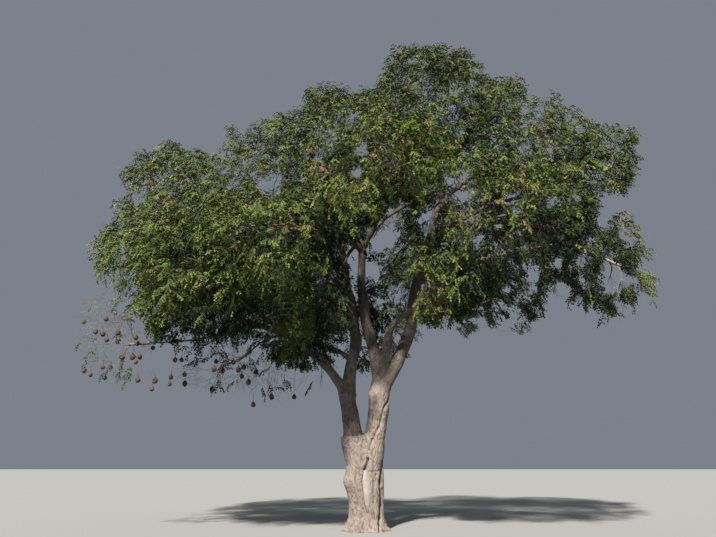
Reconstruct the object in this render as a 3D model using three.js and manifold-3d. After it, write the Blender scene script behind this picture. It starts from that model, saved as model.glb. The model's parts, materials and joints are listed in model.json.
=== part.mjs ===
// A tamarind tree: a short, waisted trunk that forks low into two stems, boughs that spread from them, a broad
// ragged crown in masses of drooping sprays, and small grass nests that hang from its bare lower twigs.
// Millimetres, +Z up, origin in the middle of the flat cut under the trunk, +X to the right from the front.
import * as THREE from "three";
import { mergeVertices } from "three/addons/utils/BufferGeometryUtils.js";
import Module from "manifold-3d";

const wasm = await Module();
wasm.setup();
const Manifold = wasm.Manifold;

// Driving dimensions
const SEAM = 0.4; // clear gap between one solid and the next
const MERGED = 1e-3; // corners closer than this are one
const TRUNK_SIDES = 20;
const TRUNK_RINGS = 12;
const STEM_SIDES = 12;
const BOUGH_SIDES = 6;
const LIMB_STEP = 1000; // length of a straight piece of a limb
const ENTRY_STEP = 120; // how closely a limb's entry into its mass is found
const MIDWAY = 0.45; // a limb with no places on its way still bows, this far along
const BOW = 0.12; // and by this share of its length

const SPRAY_LENGTH = 1050; // each blade stands for a spray of the real, hand-long leaves
const SPRAY_WIDTH = 460;
const SPRAY_THICKNESS = 22;
const SPRAY_SIZES = [1, 0.86, 0.73, 0.62, 0.52, 0.43]; // tried in turn until the blade fits its mass's space
const SPRAY_TURNS = [0, 0.3, -0.3]; // and so are turns to either side, in radians
const SPRAY_NECK = 0.07; // the share of its length at its root that others may come close to
const SPRAY_WIDEST = 0.45;
const SPRAY_FAN = 0.95; // from its twig's heading to a side spray's, in radians
const SPRAY_DROOP = [0.15, 0.75];
const SPRAY_ROLL = 1.1;
const SPRAYS_ALONG = [0.5, 0.8]; // where on a twig its side sprays grow

const TIPS_PER_MASS = 7;
const PLACES_TRIED = 60; // over the mass, from which its tips are picked
const REACH = [0.56, 0.68]; // how far out they lie, as shares of the mass's half sizes
const STEM_SHARE = 0.3; // the straight foot of the stem, as a share of the mass's mean half size
const STEM_REACH = 0.85; // from there the stem runs this share of the way to the mass's middle
const BUD_SPACING = 190;
const BUD_END = 0.35; // the share of that spacing between a twig's last bud and its tip
const BUD_ROOM = 120; // twigs leave one another at least this far apart
const DETOUR = 0.45; // how much a tip dislikes a long way back to its bough
const TWIG_RADIUS = 13;
const TWIG_GROWTH = 0.6; // a twig's radius grows with this power of the tips it carries
const TWIG_TAPER = 0.55; // its radius at its end, as a share of that at its foot
const TWIG_SEAT = 0.45; // its foot, at most this share of its parent's radius there
const SPACE_MARGIN = 4; // from a mass's space to its neighbour's
const LIMB_MARGIN = 30; // from a limb's skin to a twig or spray
const LIMB_PIECE = 300; // lengths in which limbs and twigs are compared
const TWIG_PIECE = 60;

const BARE_TWIG_SHARE = 0.75; // twigs of a bare mass against a leafy one's
const BARE_SHARE = 0.72; // sprays missing in a bare mass
const NEST_RADIUS = 82;
const NEST_HEIGHT = 200;
const NEST_SIDES = 4;
const NEST_CORD = 5;
const NEST_BELLY = 0.6; // how far down a nest is widest, as a share of its height
const NEST_DROP = [120, 330];
const NEST_SIZES = [0.85, 1.2];
const NEST_ROOM = 2.4 * NEST_RADIUS;
const NEST_TRIES = 12;
const NEST_SEATS = [0.3, 0.95]; // where along a twig a nest may hang

const FIRST_SEED = 101;
const SEED_STEP = 7;
const GOLDEN_ANGLE = Math.PI * (3 - Math.sqrt(5));
const UP = new THREE.Vector3(0, 0, 1);

const point = ([x, y, z]) => new THREE.Vector3(x, y, z);

// The trunk's waisted outline: height, middle, half width across the view and half depth
const TRUNK_LEVELS = [
  { z: 0, x: 20, wide: 560, deep: 520 },
  { z: 110, x: 20, wide: 470, deep: 440 },
  { z: 300, x: 35, wide: 410, deep: 385 },
  { z: 600, x: 35, wide: 405, deep: 375 },
  { z: 1120, x: -15, wide: 465, deep: 400 },
  { z: 1450, x: 0, wide: 430, deep: 385 },
  { z: 1800, x: -20, wide: 490, deep: 370 },
  { z: 2080, x: -35, wide: 515, deep: 330 },
];
const RING_SPREAD = 1.35; // above 1, rings lie closer together near the ground
const SADDLE_SHARE = 0.12; // the share of the rings that close the trunk between its stems
const SADDLE_PINCH = 0.8;
const SADDLE_RISE = 60;
const TRUNK_STUBS = {
  trunk_left: { from: [-150, 0, 1400], to: [-330, 0, 2500], radii: [255, 214] },
  trunk_right: { from: [130, 0, 1400], to: [300, 0, 2500], radii: [280, 243] },
};
const TRUNK_CREASE = 0.13; // depth of the fold down the front and back, as a share of the radius
const TRUNK_CREASE_WIDTH = 0.3;
const BUTTRESSES = 6;
const BUTTRESS_SWELL = 0.1;
const BUTTRESS_HEIGHT = 260;

// Bark colours and foliage colours, from the photograph
const BARK = { color: 0x9c8776, roughness: 0.95, metalness: 0 };
const BOUGH_BARK = { color: 0x7d6a5c, roughness: 0.95, metalness: 0 };
const LEAF_LIGHT = { color: 0x6f8434, roughness: 0.65, metalness: 0 };
const LEAF_DARK = { color: 0x4a6428, roughness: 0.65, metalness: 0 };
const NEST_STRAW = { color: 0x8a6f4d, roughness: 1, metalness: 0 };

// Masses of foliage: the middle and half sizes of the ellipsoid that each one fills
const MASSES = {
  top: { centre: [1820, -400, 10770], half: [1600, 1800, 1750] },
  top_left: { centre: [-450, -300, 9670], half: [1700, 1900, 1600] },
  top_right: { centre: [4080, -200, 9780], half: [1600, 1800, 1650] },
  left_high: { centre: [-2990, -200, 8690], half: [1750, 1900, 1600] },
  left_shoulder: { centre: [-4990, 0, 8060], half: [1450, 1800, 1600] },
  left_tip: { centre: [-5820, -300, 6360], half: [1150, 1600, 1350] },
  left_low: { centre: [-4160, -900, 5190], half: [1500, 1500, 1250] },
  left_inner: { centre: [-2080, 200, 4930], half: [1500, 1600, 1350] },
  right_shoulder: { centre: [5940, 0, 8720], half: [1550, 1900, 1450] },
  right_tip: { centre: [6700, -200, 6180], half: [950, 1500, 1500] },
  right_low: { centre: [5460, 500, 6030], half: [1150, 1500, 1400] },
  right_inner: { centre: [3550, 600, 5650], half: [1300, 1600, 1200] },
  front_top: { centre: [660, -2900, 8190], half: [1500, 1500, 1200] },
  front_left: { centre: [-2120, -3100, 6020], half: [1600, 1600, 1350] },
  front_right: { centre: [3180, -3100, 6650], half: [1600, 1600, 1350] },
  front_low: { centre: [1650, -1800, 5310], half: [900, 1000, 950] },
  front_far_left: { centre: [-3980, -2400, 6070], half: [1300, 1400, 1400] },
  front_far_right: { centre: [4970, -2300, 6330], half: [1100, 1400, 1250] },
  back_top: { centre: [1150, 2900, 10500], half: [1800, 1800, 1600] },
  back_left: { centre: [-3330, 3500, 8540], half: [1900, 1900, 1650] },
  back_right: { centre: [4950, 3500, 8800], half: [1900, 1900, 1650] },
  back_low_left: { centre: [-1560, 3900, 6500], half: [1600, 1500, 1350] },
  back_low_right: { centre: [2690, 3900, 6250], half: [1500, 1500, 1300] },
  back_far_left: { centre: [-5340, 2700, 7130], half: [1400, 1600, 1450] },
  back_far_right: { centre: [6720, 2700, 7490], half: [1200, 1500, 1400] },
  nest_twigs_far: { centre: [-5670, -1200, 4110], half: [950, 1000, 950], nests: 11, bare: true },
  nest_twigs_near: { centre: [-3320, -900, 3670], half: [1400, 1000, 750], nests: 11, bare: true },
};

// Limbs in the order they grow. from: the limb that each leaves; at: how far along that limb; through: places
// on its way; to: its tip, or mass: the mass whose space it ends in; radii: at its foot and at its tip
const LIMBS = {
  left_stem: { from: "trunk_left", at: 1, to: [-430, 0, 3140], radii: [213, 205], through: [] },
  right_stem: { from: "trunk_right", at: 1, to: [425, 0, 3380], radii: [242, 245], through: [[370, 0, 2970]] },
  left_low_bough: { from: "left_stem", at: 0.94, mass: "left_low", radii: [125, 60],
    through: [[-990, -200, 3830], [-1640, -420, 4370]] },
  left_leader: { from: "left_stem", at: 0.9, mass: "top_left", radii: [165, 62],
    through: [[-300, 0, 3890], [-220, 60, 4500], [-370, 120, 5520], [-560, 60, 6900]] },
  centre_stem: { from: "right_stem", at: 0.9, to: [-10, 0, 7040], radii: [160, 92],
    through: [[260, 0, 3950], [80, 0, 4890], [-20, 0, 5500], [-80, 0, 6240]] },
  right_leader: { from: "right_stem", at: 0.93, mass: "top", radii: [175, 60],
    through: [[760, 0, 3800], [1130, 0, 4740], [1200, 0, 5450], [1640, 0, 6910], [2050, 0, 8460]] },
  front_low_bough: { from: "right_stem", at: 0.95, mass: "front_low", radii: [140, 66],
    through: [[520, -230, 4100], [680, -600, 4700]] },
  front_top_bough: { from: "centre_stem", at: 0.96, mass: "front_top", radii: [78, 46],
    through: [[280, -330, 7340]] },
  back_top_bough: { from: "centre_stem", at: 0.97, mass: "back_top", radii: [80, 48],
    through: [[480, 620, 7900]] },
  front_left_bough: { from: "centre_stem", at: 0.92, mass: "front_left", radii: [78, 46],
    through: [[-560, -760, 6980]] },
  left_high_bough: { from: "left_leader", at: 0.5, mass: "left_high", radii: [95, 48],
    through: [[-1250, 60, 6650]] },
  left_shoulder_bough: { from: "left_leader", at: 0.32, mass: "left_shoulder", radii: [98, 46],
    through: [[-1700, 330, 5900], [-3300, 420, 6900]] },
  left_inner_bough: { from: "left_leader", at: 0.16, mass: "left_inner", radii: [78, 46], through: [] },
  left_tip_bough: { from: "left_low_bough", at: 0.55, mass: "left_tip", radii: [72, 44],
    through: [[-3300, -120, 5560]] },
  front_far_left_bough: { from: "left_low_bough", at: 0.42, mass: "front_far_left", radii: [66, 44],
    through: [[-2450, -1350, 4820]] },
  nest_far_bough: { from: "left_low_bough", at: 0.82, mass: "nest_twigs_far", radii: [40, 24],
    through: [[-3950, -1080, 4250]] },
  nest_near_bough: { from: "left_low_bough", at: 0.64, mass: "nest_twigs_near", radii: [40, 24],
    through: [] },
  back_left_bough: { from: "left_leader", at: 0.6, mass: "back_left", radii: [88, 46],
    through: [[-1500, 1300, 7200]] },
  back_low_left_bough: { from: "left_leader", at: 0.26, mass: "back_low_left", radii: [80, 46],
    through: [[-500, 1150, 5350]] },
  back_far_left_bough: { from: "left_shoulder_bough", at: 0.5, mass: "back_far_left", radii: [62, 44],
    through: [] },
  right_low_bough: { from: "right_leader", at: 0.46, mass: "right_tip", radii: [98, 44],
    through: [[2650, 150, 6420], [4300, 120, 6900], [5300, 0, 6950]] },
  right_inner_bough: { from: "right_leader", at: 0.33, mass: "right_inner", radii: [72, 44], through: [] },
  right_under_bough: { from: "right_low_bough", at: 0.56, mass: "right_low", radii: [55, 42], through: [] },
  right_shoulder_bough: { from: "right_leader", at: 0.66, mass: "right_shoulder", radii: [88, 46],
    through: [[3350, 60, 8020]] },
  top_right_bough: { from: "right_leader", at: 0.8, mass: "top_right", radii: [72, 46], through: [] },
  front_right_bough: { from: "right_leader", at: 0.55, mass: "front_right", radii: [82, 46],
    through: [[1980, -900, 6950]] },
  front_far_right_bough: { from: "right_low_bough", at: 0.4, mass: "front_far_right", radii: [55, 42],
    through: [] },
  back_right_bough: { from: "right_leader", at: 0.6, mass: "back_right", radii: [88, 46],
    through: [[2900, 1400, 7950]] },
  back_low_right_bough: { from: "right_leader", at: 0.38, mass: "back_low_right", radii: [80, 46],
    through: [[1500, 1300, 6050]] },
  back_far_right_bough: { from: "back_right_bough", at: 0.5, mass: "back_far_right", radii: [58, 44],
    through: [] },
};

// Random numbers from 0 to 1 that come out the same each time
function seeded(seed) {
  let state = seed >>> 0;
  return () => {
    state = (state + 0x6d2b79f5) >>> 0;
    let mixed = Math.imul(state ^ (state >>> 15), state | 1);
    mixed ^= mixed + Math.imul(mixed ^ (mixed >>> 7), mixed | 61);
    return ((mixed ^ (mixed >>> 14)) >>> 0) / 4294967296;
  };
}

// A closed solid of a geometry, from its corners alone
function solidOf(geometry) {
  const bare = new THREE.BufferGeometry();
  bare.setAttribute("position", geometry.getAttribute("position"));
  bare.setIndex(geometry.getIndex());
  const merged = mergeVertices(bare, MERGED);
  return new Manifold(
    new wasm.Mesh({
      numProp: 3,
      vertProperties: new Float32Array(merged.attributes.position.array),
      triVerts: new Uint32Array(merged.index.array),
    }),
  );
}

// The largest body of a solid: loose scraps are dropped, and a hollow sealed by fusing is filled
function wholeBody(solid) {
  return solid.decompose().reduce((best, body) => (body.volume() > best.volume() ? body : best));
}

function meshOf(name, solid, finish) {
  const { vertProperties, triVerts, numProp } = wholeBody(solid).getMesh();
  const positions = new Float32Array((vertProperties.length / numProp) * 3);
  for (let i = 0; i * 3 < positions.length; i++)
    positions.set(vertProperties.subarray(i * numProp, i * numProp + 3), i * 3);
  const geometry = new THREE.BufferGeometry();
  geometry.setAttribute("position", new THREE.BufferAttribute(positions, 3));
  geometry.setIndex(new THREE.BufferAttribute(new Uint32Array(triVerts), 1));
  geometry.computeVertexNormals();
  const mesh = new THREE.Mesh(geometry, new THREE.MeshStandardMaterial(finish));
  mesh.name = name;
  return mesh;
}

// A cylinder whose every point is moved by place(angle, along, share of radius)
function bentCylinder(sides, rings, place) {
  const geometry = new THREE.CylinderGeometry(1, 1, 1, sides, rings);
  const position = geometry.getAttribute("position");
  for (let i = 0; i < position.count; i++) {
    const x = position.getX(i);
    const z = position.getZ(i);
    const placed = place(Math.atan2(z, x), position.getY(i) + 0.5, Math.hypot(x, z));
    position.setXYZ(i, placed.x, placed.y, placed.z);
  }
  return solidOf(geometry);
}

// Linear value between the rows of a table of levels
function levelAt(levels, z, key) {
  const above = levels.findIndex((level) => level.z >= z);
  if (above <= 0) return levels[above === 0 ? 0 : levels.length - 1][key];
  const [low, high] = [levels[above - 1], levels[above]];
  return THREE.MathUtils.lerp(low[key], high[key], (z - low.z) / (high.z - low.z));
}

// How far the trunk's skin stands out at an angle round it: a fold front and back, and buttresses at the foot
function trunkFluting(angle, height) {
  const fold = Math.exp(-((Math.cos(angle) / TRUNK_CREASE_WIDTH) ** 2));
  const foot = Math.exp(-height / BUTTRESS_HEIGHT);
  return 1 - TRUNK_CREASE * fold + BUTTRESS_SWELL * foot * Math.cos(BUTTRESSES * angle);
}

function trunkSolid() {
  const top = TRUNK_LEVELS[TRUNK_LEVELS.length - 1].z;
  const column = bentCylinder(TRUNK_SIDES, TRUNK_RINGS, (angle, along, radial) => {
    const overSaddle = Math.max((along - 1 + SADDLE_SHARE) / SADDLE_SHARE, 0);
    const z = top * Math.min(along / (1 - SADDLE_SHARE), 1) ** RING_SPREAD;
    const out = radial * Math.sqrt(1 - SADDLE_PINCH * overSaddle) * trunkFluting(angle, z);
    return new THREE.Vector3(
      levelAt(TRUNK_LEVELS, z, "x") + out * levelAt(TRUNK_LEVELS, z, "wide") * Math.cos(angle),
      -out * levelAt(TRUNK_LEVELS, z, "deep") * Math.sin(angle),
      z + SADDLE_RISE * overSaddle,
    );
  });
  const stubs = Object.values(TRUNK_STUBS).map((stub) => limbSolid(stubLimb(stub), STEM_SIDES, 0));
  return Manifold.union([column, ...stubs]);
}

// A limb is a smooth line with a radius at each end
function limbOf(points, radii) {
  const curve = new THREE.CatmullRomCurve3(points, false, "centripetal");
  return { curve, radii, length: curve.getLength() };
}

const stubLimb = ({ from, to, radii }) => limbOf([point(from), point(to)], radii);
const radiusAt = (limb, along) => THREE.MathUtils.lerp(limb.radii[0], limb.radii[1], along);

// A limb's solid, grown by extra all over for cutting its neighbours
function limbSolid(limb, sides, extra) {
  const steps = Math.max(1, Math.round(limb.length / LIMB_STEP));
  const frames = [];
  let across = new THREE.Vector3(0, 1, 0);
  for (let i = 0; i <= steps; i++) {
    const along = i / steps;
    const tangent = limb.curve.getTangentAt(along);
    across = across.clone().addScaledVector(tangent, -across.dot(tangent)).normalize();
    const middle = limb.curve.getPointAt(along);
    if (i === 0) middle.addScaledVector(tangent, -extra);
    if (i === steps) middle.addScaledVector(tangent, extra);
    frames.push({ middle, across, up: new THREE.Vector3().crossVectors(across, tangent) });
  }
  return bentCylinder(sides, steps, (angle, along, radial) => {
    const frame = frames[Math.round(along * steps)];
    const radius = radial * (radiusAt(limb, along) + extra);
    return frame.middle
      .clone()
      .addScaledVector(frame.across, radius * Math.cos(angle))
      .addScaledVector(frame.up, radius * Math.sin(angle));
  });
}

// Flat walls of a mass's space: planes midway to each neighbour, weighted by their sizes
function wallsOf(name) {
  const mean = ({ half }) => (half[0] + half[1] + half[2]) / 3;
  const own = MASSES[name];
  const centre = point(own.centre);
  return Object.entries(MASSES)
    .filter(([other]) => other !== name)
    .map(([, other]) => {
      const apart = point(other.centre).sub(centre);
      const distance = apart.length();
      const reach = (distance ** 2 + mean(own) ** 2 - mean(other) ** 2) / (2 * distance);
      return { normal: apart.divideScalar(distance), reach: reach - SPACE_MARGIN };
    });
}

function makeSpace(name) {
  const centre = point(MASSES[name].centre);
  const half = point(MASSES[name].half);
  const walls = wallsOf(name);
  const offset = new THREE.Vector3();
  const holds = (place) => {
    offset.copy(place).sub(centre);
    if (walls.some((wall) => wall.normal.dot(offset) > wall.reach)) return false;
    return offset.divide(half).lengthSq() <= 1;
  };
  return { centre, half, mean: (half.x + half.y + half.z) / 3, holds };
}

// Where a limb enters the space of its mass, on the line from its last place to the mass's middle
function tipInMass(massName, before) {
  const space = makeSpace(massName);
  const steps = Math.ceil(before.distanceTo(space.centre) / ENTRY_STEP);
  for (let i = 1; i <= steps; i++) {
    const place = before.clone().lerp(space.centre, i / steps);
    if (space.holds(place)) return place;
  }
  return space.centre;
}

// Every limb in the table, and the trunk's two stubs that the stems stand on
function growLimbs() {
  const grown = {};
  for (const [name, stub] of Object.entries(TRUNK_STUBS)) grown[name] = stubLimb(stub);
  for (const [name, spec] of Object.entries(LIMBS)) {
    const parent = grown[spec.from];
    const base = parent.curve.getPointAt(spec.at);
    const places = spec.through.map(point);
    const last = places.length ? places[places.length - 1] : base;
    const tip = spec.mass ? tipInMass(spec.mass, last) : point(spec.to);
    if (spec.mass && !places.length) {
      const bow = parent.curve.getTangentAt(spec.at).multiplyScalar(BOW * base.distanceTo(tip));
      places.push(base.clone().lerp(tip, MIDWAY).add(bow));
    }
    grown[name] = limbOf([base, ...places, tip], spec.radii);
  }
  return grown;
}

// Limbs as short straight pieces, for keeping twigs off them
function piecesOf(limbs) {
  return Object.values(limbs).flatMap((limb) => {
    const steps = Math.max(2, Math.round(limb.length / LIMB_PIECE));
    const places = limb.curve.getSpacedPoints(steps);
    return places.slice(1).map((end, i) => ({
      line: new THREE.Line3(places[i], end),
      radius: radiusAt(limb, i / steps),
      limb,
    }));
  });
}

// True if a straight piece from start to end comes near a limb
function touchesLimb(pieces, start, end, radius) {
  const steps = Math.max(1, Math.ceil(start.distanceTo(end) / TWIG_PIECE));
  const place = new THREE.Vector3();
  const nearest = new THREE.Vector3();
  for (let i = 0; i <= steps; i++) {
    place.lerpVectors(start, end, i / steps);
    for (const piece of pieces) {
      piece.line.closestPointToPoint(place, true, nearest);
      if (nearest.distanceTo(place) < piece.radius + radius + LIMB_MARGIN) return true;
    }
  }
  return false;
}

// Places a mass's twigs reach for: of many on a golden spiral over its ellipsoid, the ones farthest apart
function placesToReach(space, root, random) {
  let places = [];
  for (let i = 0; i < PLACES_TRIED; i++) {
    const height = 1 - (2 * i + 1) / PLACES_TRIED;
    const ring = Math.sqrt(1 - height * height);
    const turn = i * GOLDEN_ANGLE;
    const place = new THREE.Vector3(ring * Math.cos(turn), ring * Math.sin(turn), height)
      .multiply(space.half)
      .multiplyScalar(THREE.MathUtils.lerp(REACH[0], REACH[1], random()))
      .add(space.centre);
    if (space.holds(place)) places.push(place);
  }
  const chosen = [root];
  const room = (place) => Math.min(...chosen.map((other) => other.distanceTo(place)));
  while (chosen.length <= TIPS_PER_MASS && places.length) {
    const farthest = places.reduce((best, place) => (room(place) > room(best) ? place : best));
    chosen.push(farthest);
    places = places.filter((place) => place !== farthest);
  }
  return chosen.slice(1);
}

// A twig: a bent line, the twig that it leaves, and the way from its foot back to the bough
function makeTwig(places, parent, way) {
  const line = new THREE.CurvePath();
  for (let i = 1; i < places.length; i++) line.add(new THREE.LineCurve3(places[i - 1], places[i]));
  return { places, line, parent, way, length: line.getLength(), tips: 0 };
}

// Places along a twig where others may leave it
function budsOf(twig) {
  const count = Math.floor(twig.length / BUD_SPACING);
  return Array.from({ length: count }, (_, i) => {
    const along = (i + 1) / (count + BUD_END);
    return { at: twig.line.getPointAt(along), twig, along };
  });
}

// Twigs branch from one stem: each tip, nearest first, joins the free bud that makes the shortest way
function growTwigs(space, root, heading, places, pieces) {
  const knee = root.clone().addScaledVector(heading, space.mean * STEM_SHARE);
  const stem = makeTwig([root, knee, knee.clone().lerp(space.centre, STEM_REACH)], null, 0);
  const twigs = [stem];
  let buds = budsOf(stem);
  for (const tip of [...places].sort((a, b) => a.distanceTo(root) - b.distanceTo(root))) {
    const cost = (bud) => bud.at.distanceTo(tip) + DETOUR * (bud.twig.way + bud.along * bud.twig.length);
    const bud = buds.reduce((best, other) => (cost(other) < cost(best) ? other : best), buds[0]);
    if (!bud) break;
    if (touchesLimb(pieces, bud.at, tip, 2 * TWIG_RADIUS)) continue;
    const twig = makeTwig([bud.at, tip], bud, bud.twig.way + bud.along * bud.twig.length);
    twigs.push(twig);
    buds = buds.filter((other) => other.at.distanceTo(bud.at) > BUD_ROOM).concat(budsOf(twig));
  }
  for (const twig of twigs) for (let t = twig; t; t = t.parent?.twig) t.tips++;
  return twigs;
}

const twigRadius = (twig, along, thin) => twigFoot(twig, thin) * THREE.MathUtils.lerp(1, TWIG_TAPER, along);

// A twig's radius at its foot, which lies inside its parent
function twigFoot(twig, thin) {
  const own = TWIG_RADIUS * thin * twig.tips ** TWIG_GROWTH;
  if (!twig.parent) return own;
  return Math.min(own, TWIG_SEAT * twigRadius(twig.parent.twig, twig.parent.along, thin));
}

// A three-sided cone through rings of three corners each, from the first ring to a point
function ringedCone(rings, end) {
  const geometry = new THREE.ConeGeometry(1, 1, 3, rings.length);
  const position = geometry.getAttribute("position");
  for (let i = 0; i < position.count; i++) {
    const [x, z] = [position.getX(i), position.getZ(i)];
    const ring = rings[Math.round((position.getY(i) + 0.5) * rings.length)];
    const onAxis = Math.hypot(x, z) < MERGED;
    const corner = z > 0 ? 0 : x > 0 ? 1 : 2;
    const place = !ring ? end : onAxis ? ring.middle : ring.corners[corner];
    position.setXYZ(i, place.x, place.y, place.z);
  }
  return solidOf(geometry);
}

// Three corners round a place on a line: one on the face side, and one to each side
function ringAt(middle, heading, side, radius) {
  const across = side.clone().addScaledVector(heading, -side.dot(heading)).normalize();
  const face = new THREE.Vector3().crossVectors(across, heading);
  const corners = [90, -30, 210].map((degrees) => {
    const turn = THREE.MathUtils.degToRad(degrees);
    return middle
      .clone()
      .addScaledVector(across, radius * Math.cos(turn))
      .addScaledVector(face, radius * Math.sin(turn));
  });
  return { middle, corners };
}

// A blade that stands for a spray: its root, tip, two sides and the top of its ridge
function sprayFrame(start, heading, roll, size) {
  const length = SPRAY_LENGTH * size;
  const side = new THREE.Vector3().crossVectors(heading, UP).normalize().applyAxisAngle(heading, roll);
  const face = new THREE.Vector3().crossVectors(side, heading);
  const middle = start.clone().addScaledVector(heading, SPRAY_WIDEST * length);
  const half = (SPRAY_WIDTH * size) / 2;
  return {
    start,
    side,
    neck: start.clone().addScaledVector(heading, SPRAY_NECK * length),
    end: start.clone().addScaledVector(heading, length),
    left: middle.clone().addScaledVector(side, half),
    right: middle.clone().addScaledVector(side, -half),
    ridge: middle.clone().addScaledVector(face, SPRAY_THICKNESS),
  };
}

// A blade's outline without its neck, as lines and as two flat sheets
function sprayOutline({ neck, end, left, right }) {
  return {
    lines: [[neck, left], [left, end], [end, right], [right, neck], [neck, end]].map(
      ([from, to]) => new THREE.Line3(from, to),
    ),
    sheets: [new THREE.Triangle(neck, left, end), new THREE.Triangle(neck, end, right)],
  };
}

function pierces(line, { a, b, c }) {
  const reach = line.distance();
  const ray = new THREE.Ray(line.start, line.delta(new THREE.Vector3()).divideScalar(reach));
  const hit = ray.intersectTriangle(a, b, c, false, new THREE.Vector3());
  return hit !== null && hit.distanceTo(line.start) < reach;
}

// True if two outlines pass through each other
function crosses(one, other) {
  return (
    one.lines.some((line) => other.sheets.some((sheet) => pierces(line, sheet))) ||
    other.lines.some((line) => one.sheets.some((sheet) => pierces(line, sheet)))
  );
}

const bladeRing = ({ left, right, ridge }) => ({ middle: ridge, corners: [ridge, left, right] });

// A blade on its own: a three-sided sphere whose poles are its root, on its twig's axis, and its tip
function spraySolid(frame) {
  const geometry = new THREE.SphereGeometry(1, 3, 2);
  const position = geometry.getAttribute("position");
  for (let i = 0; i < position.count; i++) {
    const pole = Math.round(position.getY(i));
    const across = position.getX(i) < 0 ? frame.ridge : position.getZ(i) > 0 ? frame.left : frame.right;
    const place = pole > 0 ? frame.end : pole < 0 ? frame.start : across;
    position.setXYZ(i, place.x, place.y, place.z);
  }
  return solidOf(geometry);
}

// A twig that runs on into the blade at its tip, or ends in a point
function twigSolid(twig, blade, thin) {
  const last = twig.places.length - 1;
  const level = new THREE.Vector3().crossVectors(twig.line.getTangentAt(1), UP).normalize();
  const side = blade ? blade.side : level;
  const rings = twig.places.map((place, i) => {
    const before = twig.places[Math.max(i - 1, 0)];
    const after = twig.places[Math.min(i + 1, last)];
    return ringAt(place, after.clone().sub(before).normalize(), side, twigRadius(twig, i / last, thin));
  });
  if (!blade) return ringedCone(rings.slice(0, -1), twig.places[last]);
  return ringedCone([...rings, bladeRing(blade)], blade.end);
}

const anyRoll = (random) => (random() * 2 - 1) * SPRAY_ROLL;

// Where and which way a twig's side sprays grow: to left and right by turns, and drooping
function sideSeats(twig, random) {
  return SPRAYS_ALONG.map((along, i) => {
    const heading = twig.line.getTangentAt(along).applyAxisAngle(UP, (i % 2 ? 1 : -1) * SPRAY_FAN);
    heading.z -= THREE.MathUtils.lerp(SPRAY_DROOP[0], SPRAY_DROOP[1], random());
    return { at: twig.line.getPointAt(along), heading: heading.normalize(), roll: anyRoll(random) };
  });
}

// The largest spray that fits the mass's space at its seat and crosses nothing, or nothing
function fittingSpray(space, pieces, grown, { at, heading, roll }, carrier) {
  for (const size of SPRAY_SIZES)
    for (const turn of SPRAY_TURNS) {
      const frame = sprayFrame(at, heading.clone().applyAxisAngle(UP, turn), roll, size);
      if (![frame.end, frame.left, frame.right, frame.ridge].every(space.holds)) continue;
      const outline = sprayOutline(frame);
      if (grown.some((other) => other !== carrier && crosses(outline, other))) continue;
      if (touchesLimb(pieces, frame.start, frame.end, (SPRAY_WIDTH * size) / 2)) continue;
      grown.push(outline);
      return frame;
    }
  return null;
}

// A nest with the cord that it hangs by, from the place on its twig down to its foot
function nestSolid(from, drop, size) {
  const height = NEST_HEIGHT * size;
  const belly = [NEST_RADIUS * size, drop + NEST_BELLY * height];
  const profile = [[0, drop + height], belly, [NEST_CORD, drop], [NEST_CORD, 0], [0, 0]];
  const geometry = new THREE.LatheGeometry(profile.map(([x, y]) => new THREE.Vector2(x, -y)), NEST_SIDES);
  geometry.rotateX(Math.PI / 2);
  geometry.translate(from.x, from.y, from.z);
  return solidOf(geometry);
}

// Nests hang on cords of grass from the twigs of the two bare masses
function nestsOf(space, twigs, count, random) {
  const hung = [];
  const placed = [];
  for (let tries = 0; placed.length < count && tries < count * NEST_TRIES; tries++) {
    const twig = twigs[Math.floor(random() * twigs.length)];
    const from = twig.line.getPointAt(THREE.MathUtils.lerp(NEST_SEATS[0], NEST_SEATS[1], random()));
    const drop = THREE.MathUtils.lerp(NEST_DROP[0], NEST_DROP[1], random());
    const size = THREE.MathUtils.lerp(NEST_SIZES[0], NEST_SIZES[1], random());
    const top = from.clone().addScaledVector(UP, -drop);
    const foot = top.clone().addScaledVector(UP, -NEST_HEIGHT * size);
    if (!space.holds(foot) || placed.some((other) => other.distanceTo(top) < NEST_ROOM)) continue;
    placed.push(top);
    hung.push(nestSolid(from, drop, size));
  }
  return hung;
}

// A mass of foliage: one stem from its limb's tip, the twigs that branch from it, and the sprays on them
function massSolid(name, limb, pieces, seed) {
  const random = seeded(seed);
  const space = makeSpace(name);
  const { bare, nests } = MASSES[name];
  const thin = bare ? BARE_TWIG_SHARE : 1;
  const heading = limb.curve.getTangentAt(1);
  const root = limb.curve.getPointAt(1).addScaledVector(heading, SEAM);
  const others = pieces.filter((piece) => piece.limb !== limb);
  const twigs = growTwigs(space, root, heading, placesToReach(space, root, random), others);
  const grown = twigs.map(({ places }) => ({
    lines: places.slice(1).map((place, i) => new THREE.Line3(places[i], place)),
    sheets: [],
  }));
  const isBare = () => bare && random() < BARE_SHARE;
  const solids = twigs.map((twig) => {
    const seat = { at: twig.line.getPointAt(1), heading: twig.line.getTangentAt(1), roll: anyRoll(random) };
    return twigSolid(twig, isBare() ? null : fittingSpray(space, others, grown, seat), thin);
  });
  twigs.forEach((twig, i) => {
    if (!twig.parent) return;
    for (const seat of sideSeats(twig, random)) {
      if (isBare()) continue;
      const frame = fittingSpray(space, others, grown, seat, grown[i]);
      if (frame) solids.push(spraySolid(frame));
    }
  });
  if (nests) solids.push(...nestsOf(space, twigs, nests, random));
  return Manifold.union(solids);
}

const tree = new THREE.Group();
tree.add(meshOf("trunk", trunkSolid(), BARK));

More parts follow.
